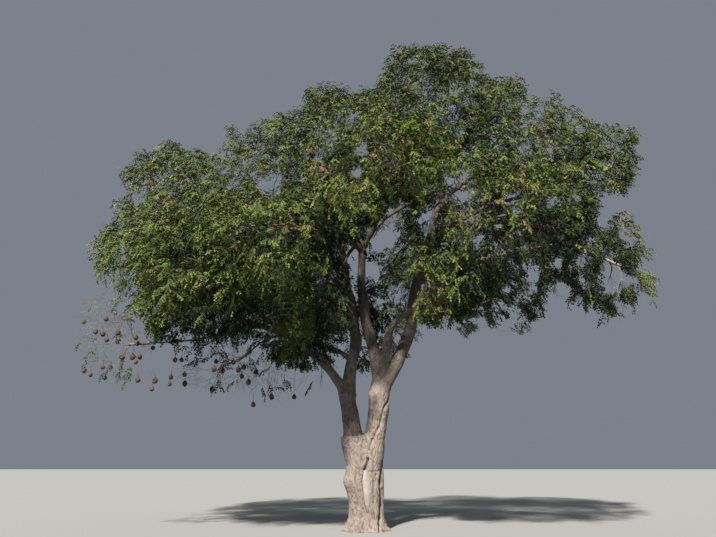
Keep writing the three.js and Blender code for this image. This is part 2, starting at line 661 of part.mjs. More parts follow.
// Each limb is cut clear of the ones that grew before it
const limbs = growLimbs();
const sidesOf = (name) => (name in TRUNK_STUBS || name.endsWith("stem") ? STEM_SIDES : BOUGH_SIDES);
const cutters = [];
for (const [name, limb] of Object.entries(limbs)) {
  if (name in LIMBS) {
    const cut = cutters.reduce((left, cutter) => left.subtract(cutter), limbSolid(limb, sidesOf(name), 0));
    tree.add(meshOf(name, cut, name.endsWith("stem") ? BARK : BOUGH_BARK));
  }
  cutters.push(limbSolid(limb, sidesOf(name), SEAM));
}

const pieces = piecesOf(limbs);
const carriers = Object.keys(LIMBS).filter((name) => LIMBS[name].mass);
carriers.forEach((name, i) => {
  const { mass } = LIMBS[name];
  const leafy = mass.startsWith("back") ? LEAF_DARK : LEAF_LIGHT;
  const solid = massSolid(mass, limbs[name], pieces, FIRST_SEED + i * SEED_STEP);
  tree.add(meshOf(mass, solid, MASSES[mass].bare ? NEST_STRAW : leafy));
});

export default tree;
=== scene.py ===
# %% [markdown]
# # A tamarind tree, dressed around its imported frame
#
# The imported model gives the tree's solids: a trunk, its limbs, and a rough mass of blades for each part of
# the crown. This notebook keeps their places and sizes and makes the looks: bark with real relief,
# branchlets, feathered leaves, pods and woven grass nests. Everything is in metres, z is up, and the view is
# along +y.

# %% Load the frame and note its size
import json
import math

import bpy
import numpy as np
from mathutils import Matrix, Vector, noise

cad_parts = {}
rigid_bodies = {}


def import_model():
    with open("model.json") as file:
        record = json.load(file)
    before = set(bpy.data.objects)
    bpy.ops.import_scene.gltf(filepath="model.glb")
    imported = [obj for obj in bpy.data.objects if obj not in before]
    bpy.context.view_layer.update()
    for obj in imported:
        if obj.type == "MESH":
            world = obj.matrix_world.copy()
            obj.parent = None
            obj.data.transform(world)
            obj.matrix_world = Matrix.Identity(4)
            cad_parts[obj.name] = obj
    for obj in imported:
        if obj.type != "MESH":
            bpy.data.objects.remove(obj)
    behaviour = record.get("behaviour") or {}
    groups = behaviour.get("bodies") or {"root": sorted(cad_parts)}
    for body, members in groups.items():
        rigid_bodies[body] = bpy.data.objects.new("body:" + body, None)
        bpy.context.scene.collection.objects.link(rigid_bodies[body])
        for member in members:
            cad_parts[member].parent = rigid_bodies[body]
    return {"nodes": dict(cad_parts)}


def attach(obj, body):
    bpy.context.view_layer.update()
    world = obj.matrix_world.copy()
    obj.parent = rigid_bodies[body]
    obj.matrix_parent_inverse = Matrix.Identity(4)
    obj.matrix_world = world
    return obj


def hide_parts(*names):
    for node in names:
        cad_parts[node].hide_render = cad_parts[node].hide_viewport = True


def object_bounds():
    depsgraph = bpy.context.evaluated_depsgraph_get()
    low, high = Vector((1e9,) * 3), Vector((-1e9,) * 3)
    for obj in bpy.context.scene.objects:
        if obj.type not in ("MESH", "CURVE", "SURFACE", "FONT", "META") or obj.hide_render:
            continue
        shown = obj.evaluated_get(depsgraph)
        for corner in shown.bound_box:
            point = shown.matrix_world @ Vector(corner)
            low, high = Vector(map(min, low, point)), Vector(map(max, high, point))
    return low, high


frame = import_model()
cad_box = [list(corner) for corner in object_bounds()]
print("frame nodes:", len(frame["nodes"]), "box:", np.round(cad_box, 2).tolist())

# %% [markdown]
# ## Camera
#
# The camera stands 16.7 m in front of the trunk, at eye height, and is tilted up to take in the crown. A
# lens is given in millimetres for a 36 mm sensor, so a focal length in pixels is turned into one first.

# %% Put up the camera
IMAGE_WIDTH = 716
FOCAL_PIXELS = 680
SENSOR = 36  # mm
EYE = (-0.161, -16.703, 1.55)
TILT = 15.806  # degrees above level
CLIP_END = 400


def nothing_selected():
    bpy.ops.object.select_all(action="DESELECT")


nothing_selected()
bpy.ops.object.camera_add(location=EYE, rotation=(math.radians(90 + TILT), 0, 0))
camera = bpy.context.object
camera.data.sensor_width = SENSOR
camera.data.lens = FOCAL_PIXELS / IMAGE_WIDTH * SENSOR
camera.data.clip_end = CLIP_END
bpy.context.scene.camera = camera
print("lens:", round(camera.data.lens, 2), "mm")

# %% [markdown]
# ## Light, floor and air
#
# A tree's crown looks deep because its lit sprays stand in front of dark gaps. One large soft lamp, high
# behind the viewer's left shoulder, does that, and a pale world fills the shadows a little.

# %% Light and world
SUN_STRENGTH = 8.0
SUN_ANGLE = math.radians(3)  # how wide it looks, which softens the edges of shadows
SUN_PLACE = (-8, -14, 16)
SUN_TURN = (math.radians(49), 0, math.radians(-15))
FILL_COLOR = (0.66, 0.74, 0.86, 1)
FILL_STRENGTH = 0.3

bpy.ops.object.light_add(type="SUN", location=SUN_PLACE, rotation=SUN_TURN)
sun = bpy.context.object
sun.data.energy = SUN_STRENGTH
sun.data.angle = SUN_ANGLE
world = bpy.data.worlds.new("studio")
bpy.context.scene.world = world
world.use_nodes = True
background = world.node_tree.nodes["Background"]
background.inputs["Color"].default_value = FILL_COLOR
background.inputs["Strength"].default_value = FILL_STRENGTH
bpy.context.scene.view_settings.view_transform = "Standard"
print("sun:", sun.data.energy, "fill:", FILL_STRENGTH)

# %% [markdown]
# ## Materials
#
# A shader is a small sum over positions. The class below wraps one socket, so that such a sum can be written
# as Python: `1 - mask * 0.5` adds its Math nodes by itself. Every other node comes from its `node` method.


# %% Shader sums as Python
class Socket:
    """One output of a node. Arithmetic on it adds Math nodes to its tree."""

    def __init__(self, tree, socket=None):
        self.tree = tree
        self.socket = socket

    def node(self, kind, settings, inputs, output=0):
        made = self.tree.nodes.new("ShaderNode" + kind)
        for name, value in settings.items():
            if name == "stops":
                self.set_stops(made.color_ramp, value)
            else:
                setattr(made, name, value)
        for name, value in inputs.items():
            if isinstance(value, Socket):
                self.tree.links.new(value.socket, made.inputs[name])
            else:
                made.inputs[name].default_value = value
        return Socket(self.tree, made.outputs[output])

    @staticmethod
    def set_stops(ramp, stops):
        for i, (place, color) in enumerate(stops):
            stop = ramp.elements[i] if i < len(ramp.elements) else ramp.elements.new(place)
            stop.position = place
            stop.color = color

    def math(self, operation, first, second):
        return self.node("Math", {"operation": operation}, {0: first, 1: second})

    def __add__(self, other):
        return self.math("ADD", self, other)

    def __sub__(self, other):
        return self.math("SUBTRACT", self, other)

    def __rsub__(self, other):
        return self.math("SUBTRACT", other, self)

    def __mul__(self, other):
        return self.math("MULTIPLY", self, other)


def linear(red, green, blue):
    """A colour from 0 to 255, as the linear values that shaders use."""
    values = np.array([red, green, blue]) / 255
    low = values / 12.92
    high = ((values + 0.055) / 1.055) ** 2.4
    return (*np.where(values > 0.04045, high, low).tolist(), 1.0)


def new_material(name, roughness):
    """A material with an empty Principled shader, and a Socket to write its sums with."""
    material = bpy.data.materials.new(name)
    material.use_nodes = True
    shader = material.node_tree.nodes["Principled BSDF"]
    shader.inputs["Roughness"].default_value = roughness
    return material, shader, Socket(material.node_tree)


def feed(shader, name, value):
    value.tree.links.new(value.socket, shader.inputs[name])


# %% [markdown]
# ## Floor
#
# The floor only catches a soft shadow and is no part of the tree. A pale floor in the sun would light the
# crown from below, and real ground hardly does, so its bounced light is switched off.

# %% Lay the floor
FLOOR_SIZE = 240
FLOOR_COLOR = linear(150, 147, 141)
nothing_selected()
bpy.ops.mesh.primitive_plane_add(size=FLOOR_SIZE)
floor = bpy.context.object
floor.name = "floor"
floor.visible_diffuse = False
pale, shader, _ = new_material("pale_floor", 0.9)
shader.inputs["Base Color"].default_value = FLOOR_COLOR
floor.data.materials.append(pale)
print("floor:", FLOOR_SIZE, "m")

# %% [markdown]
# ## Where the crown's masses lie
#
# The crown is broad and ragged, in masses that lean over one another. Each mass fills an ellipsoid, cut off
# by flat walls midway to its neighbours, so that no two grow into each other. The numbers are the ones that
# the solids were grown from, so that what is made here keeps to the same places.

# %% Masses of foliage
MASSES = {
    # middle, half sizes
    "top": ((1.82, -0.4, 10.77), (1.6, 1.8, 1.75)),
    "top_left": ((-0.45, -0.3, 9.67), (1.7, 1.9, 1.6)),
    "top_right": ((4.08, -0.2, 9.78), (1.6, 1.8, 1.65)),
    "left_high": ((-2.99, -0.2, 8.69), (1.75, 1.9, 1.6)),
    "left_shoulder": ((-4.99, 0, 8.06), (1.45, 1.8, 1.6)),
    "left_tip": ((-5.82, -0.3, 6.36), (1.15, 1.6, 1.35)),
    "left_low": ((-4.16, -0.9, 5.19), (1.5, 1.5, 1.25)),
    "left_inner": ((-2.08, 0.2, 4.93), (1.5, 1.6, 1.35)),
    "right_shoulder": ((5.94, 0, 8.72), (1.55, 1.9, 1.45)),
    "right_tip": ((6.7, -0.2, 6.18), (0.95, 1.5, 1.5)),
    "right_low": ((5.46, 0.5, 6.03), (1.15, 1.5, 1.4)),
    "right_inner": ((3.55, 0.6, 5.65), (1.3, 1.6, 1.2)),
    "front_top": ((0.66, -2.9, 8.19), (1.5, 1.5, 1.2)),
    "front_left": ((-2.12, -3.1, 6.02), (1.6, 1.6, 1.35)),
    "front_right": ((3.18, -3.1, 6.65), (1.6, 1.6, 1.35)),
    "front_low": ((1.65, -1.8, 5.31), (0.9, 1.0, 0.95)),
    "front_far_left": ((-3.98, -2.4, 6.07), (1.3, 1.4, 1.4)),
    "front_far_right": ((4.97, -2.3, 6.33), (1.1, 1.4, 1.25)),
    "back_top": ((1.15, 2.9, 10.5), (1.8, 1.8, 1.6)),
    "back_left": ((-3.33, 3.5, 8.54), (1.9, 1.9, 1.65)),
    "back_right": ((4.95, 3.5, 8.8), (1.9, 1.9, 1.65)),
    "back_low_left": ((-1.56, 3.9, 6.5), (1.6, 1.5, 1.35)),
    "back_low_right": ((2.69, 3.9, 6.25), (1.5, 1.5, 1.3)),
    "back_far_left": ((-5.34, 2.7, 7.13), (1.4, 1.6, 1.45)),
    "back_far_right": ((6.72, 2.7, 7.49), (1.2, 1.5, 1.4)),
    "nest_twigs_far": ((-5.67, -1.2, 4.11), (0.95, 1.0, 0.95)),
    "nest_twigs_near": ((-3.32, -0.9, 3.67), (1.4, 1.0, 0.75)),
}
BARE_MASSES = ("nest_twigs_far", "nest_twigs_near")
print("masses:", len(MASSES))

# %% The room that a mass may fill
WALL_MARGIN = 0.004


class Space:
    """The room that one mass may fill: its ellipsoid, inside flat walls midway to its neighbours."""

    def __init__(self, name):
        self.centre, self.half = (np.array(v, float) for v in MASSES[name])
        self.mean = self.half.mean()
        others = [MASSES[other] for other in MASSES if other != name]
        apart = np.array([centre for centre, _ in others]) - self.centre
        distance = np.linalg.norm(apart, axis=1)
        sizes = np.array([np.mean(half) for _, half in others])
        self.normals = apart / distance[:, None]
        self.reaches = (distance**2 + self.mean**2 - sizes**2) / (2 * distance) - WALL_MARGIN

    def holds(self, places, slack=0.0):
        """Which places lie inside, with slack for leaves that may cross a wall a little."""
        offset = np.atleast_2d(places) - self.centre
        inside_walls = (offset @ self.normals.T <= self.reaches + slack).all(1)
        return inside_walls & (((offset / self.half) ** 2).sum(1) <= 1)


spaces = {name: Space(name) for name in MASSES}
print("spaces with walls:", len(spaces), "walls each:", len(spaces["top"].normals))

# %% [markdown]
# ## Limbs
#
# Each limb is a smooth line through a few places, thinner towards its tip, and most end where they enter
# their mass. A centripetal curve is used because it never loops or overshoots between places that lie close
# together.

# %% The limbs' places
TRUNK_STUBS = {
    # foot, top, first and last radius
    "trunk_left": ((-0.15, 0, 1.4), (-0.33, 0, 2.5), (0.255, 0.214)),
    "trunk_right": ((0.13, 0, 1.4), (0.3, 0, 2.5), (0.28, 0.243)),
}
LIMBS = {
    # carrier, how far along it, places on the way, tip or mass, first and last radius
    "left_stem": ("trunk_left", 1, [], (-0.43, 0, 3.14), (0.213, 0.205)),
    "right_stem": ("trunk_right", 1, [(0.37, 0, 2.97)], (0.425, 0, 3.38), (0.242, 0.245)),
    "left_low_bough": (
        "left_stem", 0.94, [(-0.99, -0.2, 3.83), (-1.64, -0.42, 4.37)], "left_low", (0.125, 0.06),
    ),
    "left_leader": (
        "left_stem", 0.9, [(-0.3, 0, 3.89), (-0.22, 0.06, 4.5), (-0.37, 0.12, 5.52), (-0.56, 0.06, 6.9)],
        "top_left", (0.165, 0.062),
    ),
    "centre_stem": (
        "right_stem", 0.9, [(0.26, 0, 3.95), (0.08, 0, 4.89), (-0.02, 0, 5.5), (-0.08, 0, 6.24)],
        (-0.01, 0, 7.04), (0.16, 0.092),
    ),
    "right_leader": (
        "right_stem", 0.93,
        [(0.76, 0, 3.8), (1.13, 0, 4.74), (1.2, 0, 5.45), (1.64, 0, 6.91), (2.05, 0, 8.46)],
        "top", (0.175, 0.06),
    ),
    "front_low_bough": (
        "right_stem", 0.95, [(0.52, -0.23, 4.1), (0.68, -0.6, 4.7)], "front_low", (0.14, 0.066),
    ),
    "front_top_bough": ("centre_stem", 0.96, [(0.28, -0.33, 7.34)], "front_top", (0.078, 0.046)),
    "back_top_bough": ("centre_stem", 0.97, [(0.48, 0.62, 7.9)], "back_top", (0.08, 0.048)),
    "front_left_bough": ("centre_stem", 0.92, [(-0.56, -0.76, 6.98)], "front_left", (0.078, 0.046)),
    "left_high_bough": ("left_leader", 0.5, [(-1.25, 0.06, 6.65)], "left_high", (0.095, 0.048)),
    "left_shoulder_bough": (
        "left_leader", 0.32, [(-1.7, 0.33, 5.9), (-3.3, 0.42, 6.9)], "left_shoulder", (0.098, 0.046),
    ),
    "left_inner_bough": ("left_leader", 0.16, [], "left_inner", (0.078, 0.046)),
    "left_tip_bough": ("left_low_bough", 0.55, [(-3.3, -0.12, 5.56)], "left_tip", (0.072, 0.044)),
    "front_far_left_bough": (
        "left_low_bough", 0.42, [(-2.45, -1.35, 4.82)], "front_far_left", (0.066, 0.044),
    ),
    "nest_far_bough": ("left_low_bough", 0.82, [(-3.95, -1.08, 4.25)], "nest_twigs_far", (0.04, 0.024)),
    "nest_near_bough": ("left_low_bough", 0.64, [], "nest_twigs_near", (0.04, 0.024)),
    "back_left_bough": ("left_leader", 0.6, [(-1.5, 1.3, 7.2)], "back_left", (0.088, 0.046)),
    "back_low_left_bough": ("left_leader", 0.26, [(-0.5, 1.15, 5.35)], "back_low_left", (0.08, 0.046)),
    "back_far_left_bough": ("left_shoulder_bough", 0.5, [], "back_far_left", (0.062, 0.044)),
    "right_low_bough": (
        "right_leader", 0.46, [(2.65, 0.15, 6.42), (4.3, 0.12, 6.9), (5.3, 0, 6.95)], "right_tip",
        (0.098, 0.044),
    ),
    "right_inner_bough": ("right_leader", 0.33, [], "right_inner", (0.072, 0.044)),
    "right_under_bough": ("right_low_bough", 0.56, [], "right_low", (0.055, 0.042)),
    "right_shoulder_bough": ("right_leader", 0.66, [(3.35, 0.06, 8.02)], "right_shoulder", (0.088, 0.046)),
    "top_right_bough": ("right_leader", 0.8, [], "top_right", (0.072, 0.046)),
    "front_right_bough": ("right_leader", 0.55, [(1.98, -0.9, 6.95)], "front_right", (0.082, 0.046)),
    "front_far_right_bough": ("right_low_bough", 0.4, [], "front_far_right", (0.055, 0.042)),
    "back_right_bough": ("right_leader", 0.6, [(2.9, 1.4, 7.95)], "back_right", (0.088, 0.046)),
    "back_low_right_bough": ("right_leader", 0.38, [(1.5, 1.3, 6.05)], "back_low_right", (0.08, 0.046)),
    "back_far_right_bough": ("back_right_bough", 0.5, [], "back_far_right", (0.058, 0.044)),
}
print("limbs that leave a carrier:", len(LIMBS))

# %% Smooth lines through places
LINE_STEPS = 200


def evenly(points, count):
    """count points spaced evenly along a line of points."""
    lengths = np.concatenate([[0], np.cumsum(np.linalg.norm(np.diff(points, axis=0), axis=1))])
    wanted = np.linspace(0, lengths[-1], count)
    return np.stack([np.interp(wanted, lengths, points[:, axis]) for axis in range(3)], axis=1)


def smooth_line(places):
    """A centripetal curve through places, as points spaced evenly along it."""
    places = np.array(places, float)
    ends = [2 * places[0] - places[1], 2 * places[-1] - places[-2]]
    padded = np.vstack([ends[0], places, ends[1]])
    t = np.linspace(0, 1, LINE_STEPS // 2)[:, None]
    parts = []
    for p0, p1, p2, p3 in zip(padded, padded[1:], padded[2:], padded[3:]):
        d0, d1, d2 = (math.sqrt(np.linalg.norm(b - a)) for a, b in ((p0, p1), (p1, p2), (p2, p3)))
        leave = ((p1 - p0) / d0 - (p2 - p0) / (d0 + d1) + (p2 - p1) / d1) * d1
        arrive = ((p2 - p1) / d1 - (p3 - p1) / (d1 + d2) + (p3 - p2) / d2) * d1
        cubic = 2 * p1 - 2 * p2 + leave + arrive
        square = -3 * p1 + 3 * p2 - 2 * leave - arrive
        parts.append(p1 + t * (leave + t * (square + t * cubic)))
    return evenly(np.vstack(parts), LINE_STEPS + 1)


def unit(vectors):
    return vectors / np.maximum(np.linalg.norm(vectors, axis=-1, keepdims=True), 1e-9)


class Line:
    """Points along a limb or twig, read by how far along it they lie, from 0 to 1."""

    def __init__(self, points):
        self.points = points
        steps = np.linalg.norm(np.diff(points, axis=0), axis=1)
        self.length = steps.sum()
        self.along = np.concatenate([[0], np.cumsum(steps)]) / self.length

    def at(self, along):
        return np.stack([np.interp(along, self.along, self.points[:, axis]) for axis in range(3)], axis=-1)

    def heading(self, along, step=0.01):
        before = self.at(np.maximum(np.asarray(along) - step, 0))
        after = self.at(np.minimum(np.asarray(along) + step, 1))
        return unit(after - before)


sample_line = Line(smooth_line([(0, 0, 0), (0.5, 0, 1), (0, 0, 2)]))
print("a bowed line over 2 m is", round(sample_line.length, 2), "m long")

# %% Grow the limbs' lines
ENTRY_STEP = 0.12
MIDWAY = 0.45  # where a limb with no places of its own bows, as a share of its way
BOW = 0.12


def tip_in_mass(name, before):
    """Where a limb enters the space of its mass, on the line from its last place to the mass's middle."""
    space = spaces[name]
    steps = math.ceil(np.linalg.norm(space.centre - before) / ENTRY_STEP)
    for i in range(1, steps + 1):
        place = before + (space.centre - before) * i / steps
        if space.holds(place)[0]:
            return place
    return space.centre


def grow_limbs():
    grown = {}
    for name, (foot, top, radii) in TRUNK_STUBS.items():
        grown[name] = (Line(smooth_line([foot, top])), radii)
    for name, (carrier, share, through, end, radii) in LIMBS.items():
        line = grown[carrier][0]
        foot = line.at(share)
        places = [np.array(place, float) for place in through]
        tip = tip_in_mass(end, places[-1] if places else foot) if isinstance(end, str) else np.array(end)
        if isinstance(end, str) and not places:
            bow = line.heading(share) * BOW * np.linalg.norm(tip - foot)
            places = [foot + (tip - foot) * MIDWAY + bow]
        grown[name] = (Line(smooth_line([foot, *places, tip])), radii)
    return grown


limbs = grow_limbs()
carriers = {end: name for name, (_, _, _, end, _) in LIMBS.items() if isinstance(end, str)}
print("limbs:", len(limbs), "metres of limb:", round(sum(line.length for line, _ in limbs.values()), 1))

# %% [markdown]
# ## Bark
#
# A tamarind's bark is grey-tan, thick and split into long ridges. Painting that on a smooth pipe never looks
# right close by, so the limbs get real relief. The trunk is a cylinder pulled up ring by ring in edit mode,
# as by hand, and each limb is a curve with a thickness at every point. They overlap, and a voxel remesh
# melts them into one skin, so that forks have soft collars. The ridges are then pushed in with numpy.

# %% Shape the trunk's column ring by ring
TRUNK_LEVELS = [
    # height, middle in x, half width, half depth
    (0, 0.02, 0.56, 0.52),
    (0.11, 0.02, 0.47, 0.44),
    (0.3, 0.035, 0.41, 0.385),
    (0.6, 0.035, 0.405, 0.375),
    (1.12, -0.015, 0.465, 0.4),
    (1.45, 0, 0.43, 0.385),
    (1.8, -0.02, 0.49, 0.37),
    (2.08, -0.035, 0.515, 0.33),
    (2.16, -0.035, 0.36, 0.24),
    (2.2, -0.035, 0.16, 0.12),
]
TRUNK_SIDES = 72
BELOW_CUT = 0.12  # the column starts below the ground and is cut flat later
FACES_UP = 0.9  # least z of the normal of a face that looks up


def edit_select(obj, chosen):
    """Selects just the faces of obj that chosen(centre, normal) picks, and stays in edit mode."""
    nothing_selected()
    obj.select_set(True)
    bpy.context.view_layer.objects.active = obj
    bpy.ops.object.mode_set(mode="EDIT")
    bpy.ops.mesh.select_all(action="DESELECT")
    bpy.ops.object.mode_set(mode="OBJECT")
    for face in obj.data.polygons:
        face.select = chosen(face.center, face.normal)
    bpy.ops.object.mode_set(mode="EDIT")
    bpy.ops.mesh.select_mode(type="FACE")


def trunk_column():
    _, first_x, wide, deep = TRUNK_LEVELS[0]
    nothing_selected()
    bpy.ops.mesh.primitive_cylinder_add(
        vertices=TRUNK_SIDES, radius=1, depth=BELOW_CUT,
        location=(first_x, 0, -BELOW_CUT / 2), scale=(wide, deep, 1),
    )
    column = bpy.context.object
    edit_select(column, lambda centre, normal: normal.z > FACES_UP)
    at_x, at_z, was_wide, was_deep = first_x, 0, wide, deep
    for z, x, wide, deep in TRUNK_LEVELS[1:]:
        bpy.ops.mesh.extrude_region_move(TRANSFORM_OT_translate={"value": (x - at_x, 0, z - at_z)})
        bpy.ops.transform.resize(value=(wide / was_wide, deep / was_deep, 1), center_override=(x, 0, z))
        at_x, at_z, was_wide, was_deep = x, z, wide, deep
    bpy.ops.object.mode_set(mode="OBJECT")
    bpy.ops.object.transform_apply(location=True, rotation=True, scale=True)
    return column


column = trunk_column()
print("column:", len(column.data.vertices), "corners")

# %% Flute the column
FOLD_DEPTH = 0.13
FOLD_WIDTH = 0.3
BUTTRESSES = 6
BUTTRESS_SWELL = 0.1
BUTTRESS_HEIGHT = 0.26


def vertex_array(obj, name="co"):
    values = np.empty(len(obj.data.vertices) * 3, np.float32)
    obj.data.vertices.foreach_get(name, values)
    return values.reshape(-1, 3).astype(float)


def set_vertices(obj, places):
    obj.data.vertices.foreach_set("co", np.ascontiguousarray(places, np.float32).ravel())
    obj.data.update()


places = vertex_array(column)
heights, middles, _, _ = zip(*TRUNK_LEVELS)
middle = np.interp(places[:, 2], heights, middles)
angle = np.arctan2(places[:, 1], places[:, 0] - middle)
fold = FOLD_DEPTH * np.exp(-((np.cos(angle) / FOLD_WIDTH) ** 2))
foot = BUTTRESS_SWELL * np.exp(-np.maximum(places[:, 2], 0) / BUTTRESS_HEIGHT) * np.cos(BUTTRESSES * angle)
fluting = 1 - fold + foot
places[:, 0] = middle + (places[:, 0] - middle) * fluting
places[:, 1] *= fluting
set_vertices(column, places)
print("fluting from", round(fluting.min(), 2), "to", round(fluting.max(), 2))

# %% [markdown]
# ### Limbs as thick curves
#
# A real limb is never a clean cone: it wanders a little, swells where it leaves its carrier and has knobs.
# The line is shifted by smooth noise that fades at both ends, so that what grows on it still meets it.

# %% Draw the limbs
RING_STEP = 0.14
WANDER = 0.34  # as a share of the radius
WANDER_SCALE = 1.3
WANDER_SHIFTS = (3.1, 17.7, 41.3)
KNOBS = 0.07
KNOB_SCALE = 2.6
KNOB_SHIFT = 9.4
COLLAR = 0.42  # how much a limb swells at its foot
COLLAR_REACH = 1.5  # radii
LEAST_RINGS = 4
STUB_RINGS = 7
STUBS = {"left_stem": "trunk_left", "right_stem": "trunk_right"}


def smooth_noise(places, scale, shift):
    return np.array([noise.noise(Vector(place) * scale + Vector((shift, shift, shift))) for place in places])


def wandering(points, scale, shifts):
    """How far a limb's points stray in x, y and z, as a share of its radius."""
    return WANDER * 2 * np.stack([smooth_noise(points, scale, shift) for shift in shifts], axis=1)


def knobs(points, shift):
    return 1 + KNOBS * 2 * smooth_noise(points, KNOB_SCALE, shift)


def drawn_limb(name):
    """Points and radii of a limb as it is drawn. A stem starts down in the trunk."""
    line, (first, last) = limbs[name]
    count = max(LEAST_RINGS, math.ceil(line.length / RING_STEP))
    along = np.linspace(0, 1, count)
    points = line.at(along)
    radii = first + (last - first) * along
    collar = 1 + COLLAR * np.exp(-along * line.length / (COLLAR_REACH * first))
    if name in STUBS:
        collar[:] = 1
    held = np.sin(np.pi * along)[:, None]
    points = points + wandering(points, WANDER_SCALE, WANDER_SHIFTS) * held * radii[:, None]
    radii = radii * collar * knobs(points, KNOB_SHIFT)
    if name in STUBS:
        stub_line, (stub_first, stub_last) = limbs[STUBS[name]]
        steps = np.linspace(0, 1, STUB_RINGS + 1)[:-1]
        points = np.vstack([stub_line.at(steps), points])
        radii = np.concatenate([stub_first + (stub_last - stub_first) * steps, radii])
    return points, radii


drawn = {name: drawn_limb(name) for name in LIMBS}
print("limb rings:", sum(len(points) for points, _ in drawn.values()))

# %% Draw what shows inside the crown
INNER_LIMBS = {
    # stretches past the solids' own limbs: points in x, y and z, and radii at both ends
    "crossing": (
        [
            (-0.08, 0.0, 6.4), (-0.03, -0.05, 6.87), (0.2, -0.1, 7.26), (0.56, -0.15, 7.6),
            (1.03, -0.2, 7.9), (1.55, -0.3, 8.14), (1.96, -0.4, 8.38),
        ],
        (0.085, 0.035),
    ),
    "crossing_foot": (
        [(-0.03, -0.05, 6.97), (-0.21, -0.15, 6.89), (-0.41, -0.3, 6.6), (-0.53, -0.45, 6.24)],
        (0.062, 0.04),
    ),
}
INNER_SCALE = 1.9
INNER_SHIFTS = (5.3, 21.9, 47.1)
INNER_KNOB_SHIFT = 3.3


def drawn_inner(points, ends):
    line = Line(np.array(points))
    along = np.linspace(0, 1, math.ceil(line.length / RING_STEP))
    points = line.at(along)
    radii = ends[0] + (ends[1] - ends[0]) * along
    strayed = points + wandering(points, INNER_SCALE, INNER_SHIFTS) * radii[:, None]
    return strayed, radii * knobs(points, INNER_KNOB_SHIFT)


inner = {name: drawn_inner(*limb) for name, limb in INNER_LIMBS.items()}
print("inner rings:", sum(len(points) for points, _ in inner.values()))

# %% Turn the limbs into tubes
TUBE_ROUNDNESS = 5
MAIN_LIMBS = [
    "left_stem", "right_stem", "left_low_bough", "left_leader",
    "centre_stem", "right_leader", "front_low_bough",
]
BOUGHS = [name for name in LIMBS if name not in MAIN_LIMBS]


def thick_curve(name, points, radii):
    """A curve object with a round bevel, turned into a closed mesh tube."""
    data = bpy.data.curves.new(name, "CURVE")
    data.dimensions = "3D"
    data.bevel_depth = 1
    data.bevel_resolution = TUBE_ROUNDNESS
    data.use_fill_caps = True
    spline = data.splines.new("POLY")
    spline.points.add(len(points) - 1)
    spline.points.foreach_set("co", np.hstack([points, np.ones((len(points), 1))]).ravel())
    spline.points.foreach_set("radius", radii)
    tube = bpy.data.objects.new(name, data)
    bpy.context.collection.objects.link(tube)
    nothing_selected()
    tube.select_set(True)
    bpy.context.view_layer.objects.active = tube
    bpy.ops.object.convert(target="MESH")
    return bpy.context.object


def joined(name, objects):
    nothing_selected()
    for obj in objects:
        obj.select_set(True)
    bpy.context.view_layer.objects.active = objects[0]
    bpy.ops.object.join()
    result = bpy.context.object
    result.name = name
    result.data.name = name
    return result


main_tubes = [thick_curve(name, *drawn[name]) for name in MAIN_LIMBS]
bough_tubes = [thick_curve(name, *drawn[name]) for name in BOUGHS]
inner_tubes = [thick_curve(name, *limb) for name, limb in inner.items()]
main_skin = joined("trunk_and_limbs", [column] + main_tubes)
bough_skin = joined("boughs", bough_tubes + inner_tubes)
print("tubes:", len(main_tubes), len(bough_tubes) + len(inner_tubes))

# %% Melt each set of tubes into one skin
MAIN_VOXEL = 0.013
BOUGH_VOXEL = 0.02
MELTING = 0.5
MELT_PASSES = 6


def apply_modifier(obj, kind, **settings):
    nothing_selected()
    obj.select_set(True)
    bpy.context.view_layer.objects.active = obj
    modifier = obj.modifiers.new(kind.lower(), kind)
    for name, value in settings.items():
        setattr(modifier, name, value)
    bpy.ops.object.modifier_apply(modifier=modifier.name)


for skin, voxel in ((main_skin, MAIN_VOXEL), (bough_skin, BOUGH_VOXEL)):
    apply_modifier(skin, "REMESH", mode="VOXEL", voxel_size=voxel, use_smooth_shade=True)
    apply_modifier(skin, "SMOOTH", factor=MELTING, iterations=MELT_PASSES)
    print(skin.name, "faces:", len(skin.data.polygons))

# %% [markdown]
# ### Ridges, folds and the old scar
#
# Bark follows the limb that it grows on. So the nearest two limbs are found for each corner of the skin, and
# its pattern is read from noise stretched along each of them, blended where they meet. Where the noise
# passes through zero there is a split. The trunk's own marks are laid over that: the folds below the fork,
# the long bare scar between two lips of bark, the flute on its right and two small hollows.

# %% Find the limbs under each corner of a skin
CHUNK = 4000
UPRIGHT = ("trunk", "left_stem", "right_stem")  # their bark runs straight up, in the tree's own x, y and z
TRUNK_MIDDLE = 0.4
TRUNK_SPAN = (-0.1, 2.0)  # heights of the lowest and the highest sample of the trunk
TRUNK_SAMPLES = 25
SLANT = (0.31, 1, 0.17)  # no limb runs along this direction
PATTERN_STEP = 3.7  # keeps one limb's pattern apart from the next one's
MEETING = 0.1  # metres over which the patterns of two limbs blend


def limb_samples(name):
    """Points along a limb with their radius, distance along it, heading, and two directions across."""
    if name == "trunk":
        points = np.zeros((TRUNK_SAMPLES, 3))
        points[:, 2] = np.linspace(*TRUNK_SPAN, TRUNK_SAMPLES)
        radii = np.full(TRUNK_SAMPLES, TRUNK_MIDDLE)
    else:
        points, radii = drawn[name]
    heading = unit(np.gradient(points, axis=0))
    along = np.concatenate([[0], np.cumsum(np.linalg.norm(np.diff(points, axis=0), axis=1))])
    across = unit(np.cross(heading, SLANT))
    return points, radii, along, heading, across, np.cross(across, heading)


def gaps_to(places, samples):
    """How far each place is from a limb's skin, and which of its samples is nearest."""
    points, radii = samples[:2]
    gap, nearest = np.empty(len(places)), np.empty(len(places), int)
    for start in range(0, len(places), CHUNK):
        part = places[start : start + CHUNK]
        away = np.sqrt(((part[:, None] - points[None]) ** 2).sum(2)) - radii
        nearest[start : start + CHUNK] = away.argmin(1)
        gap[start : start + CHUNK] = away.min(1)
    return gap, nearest


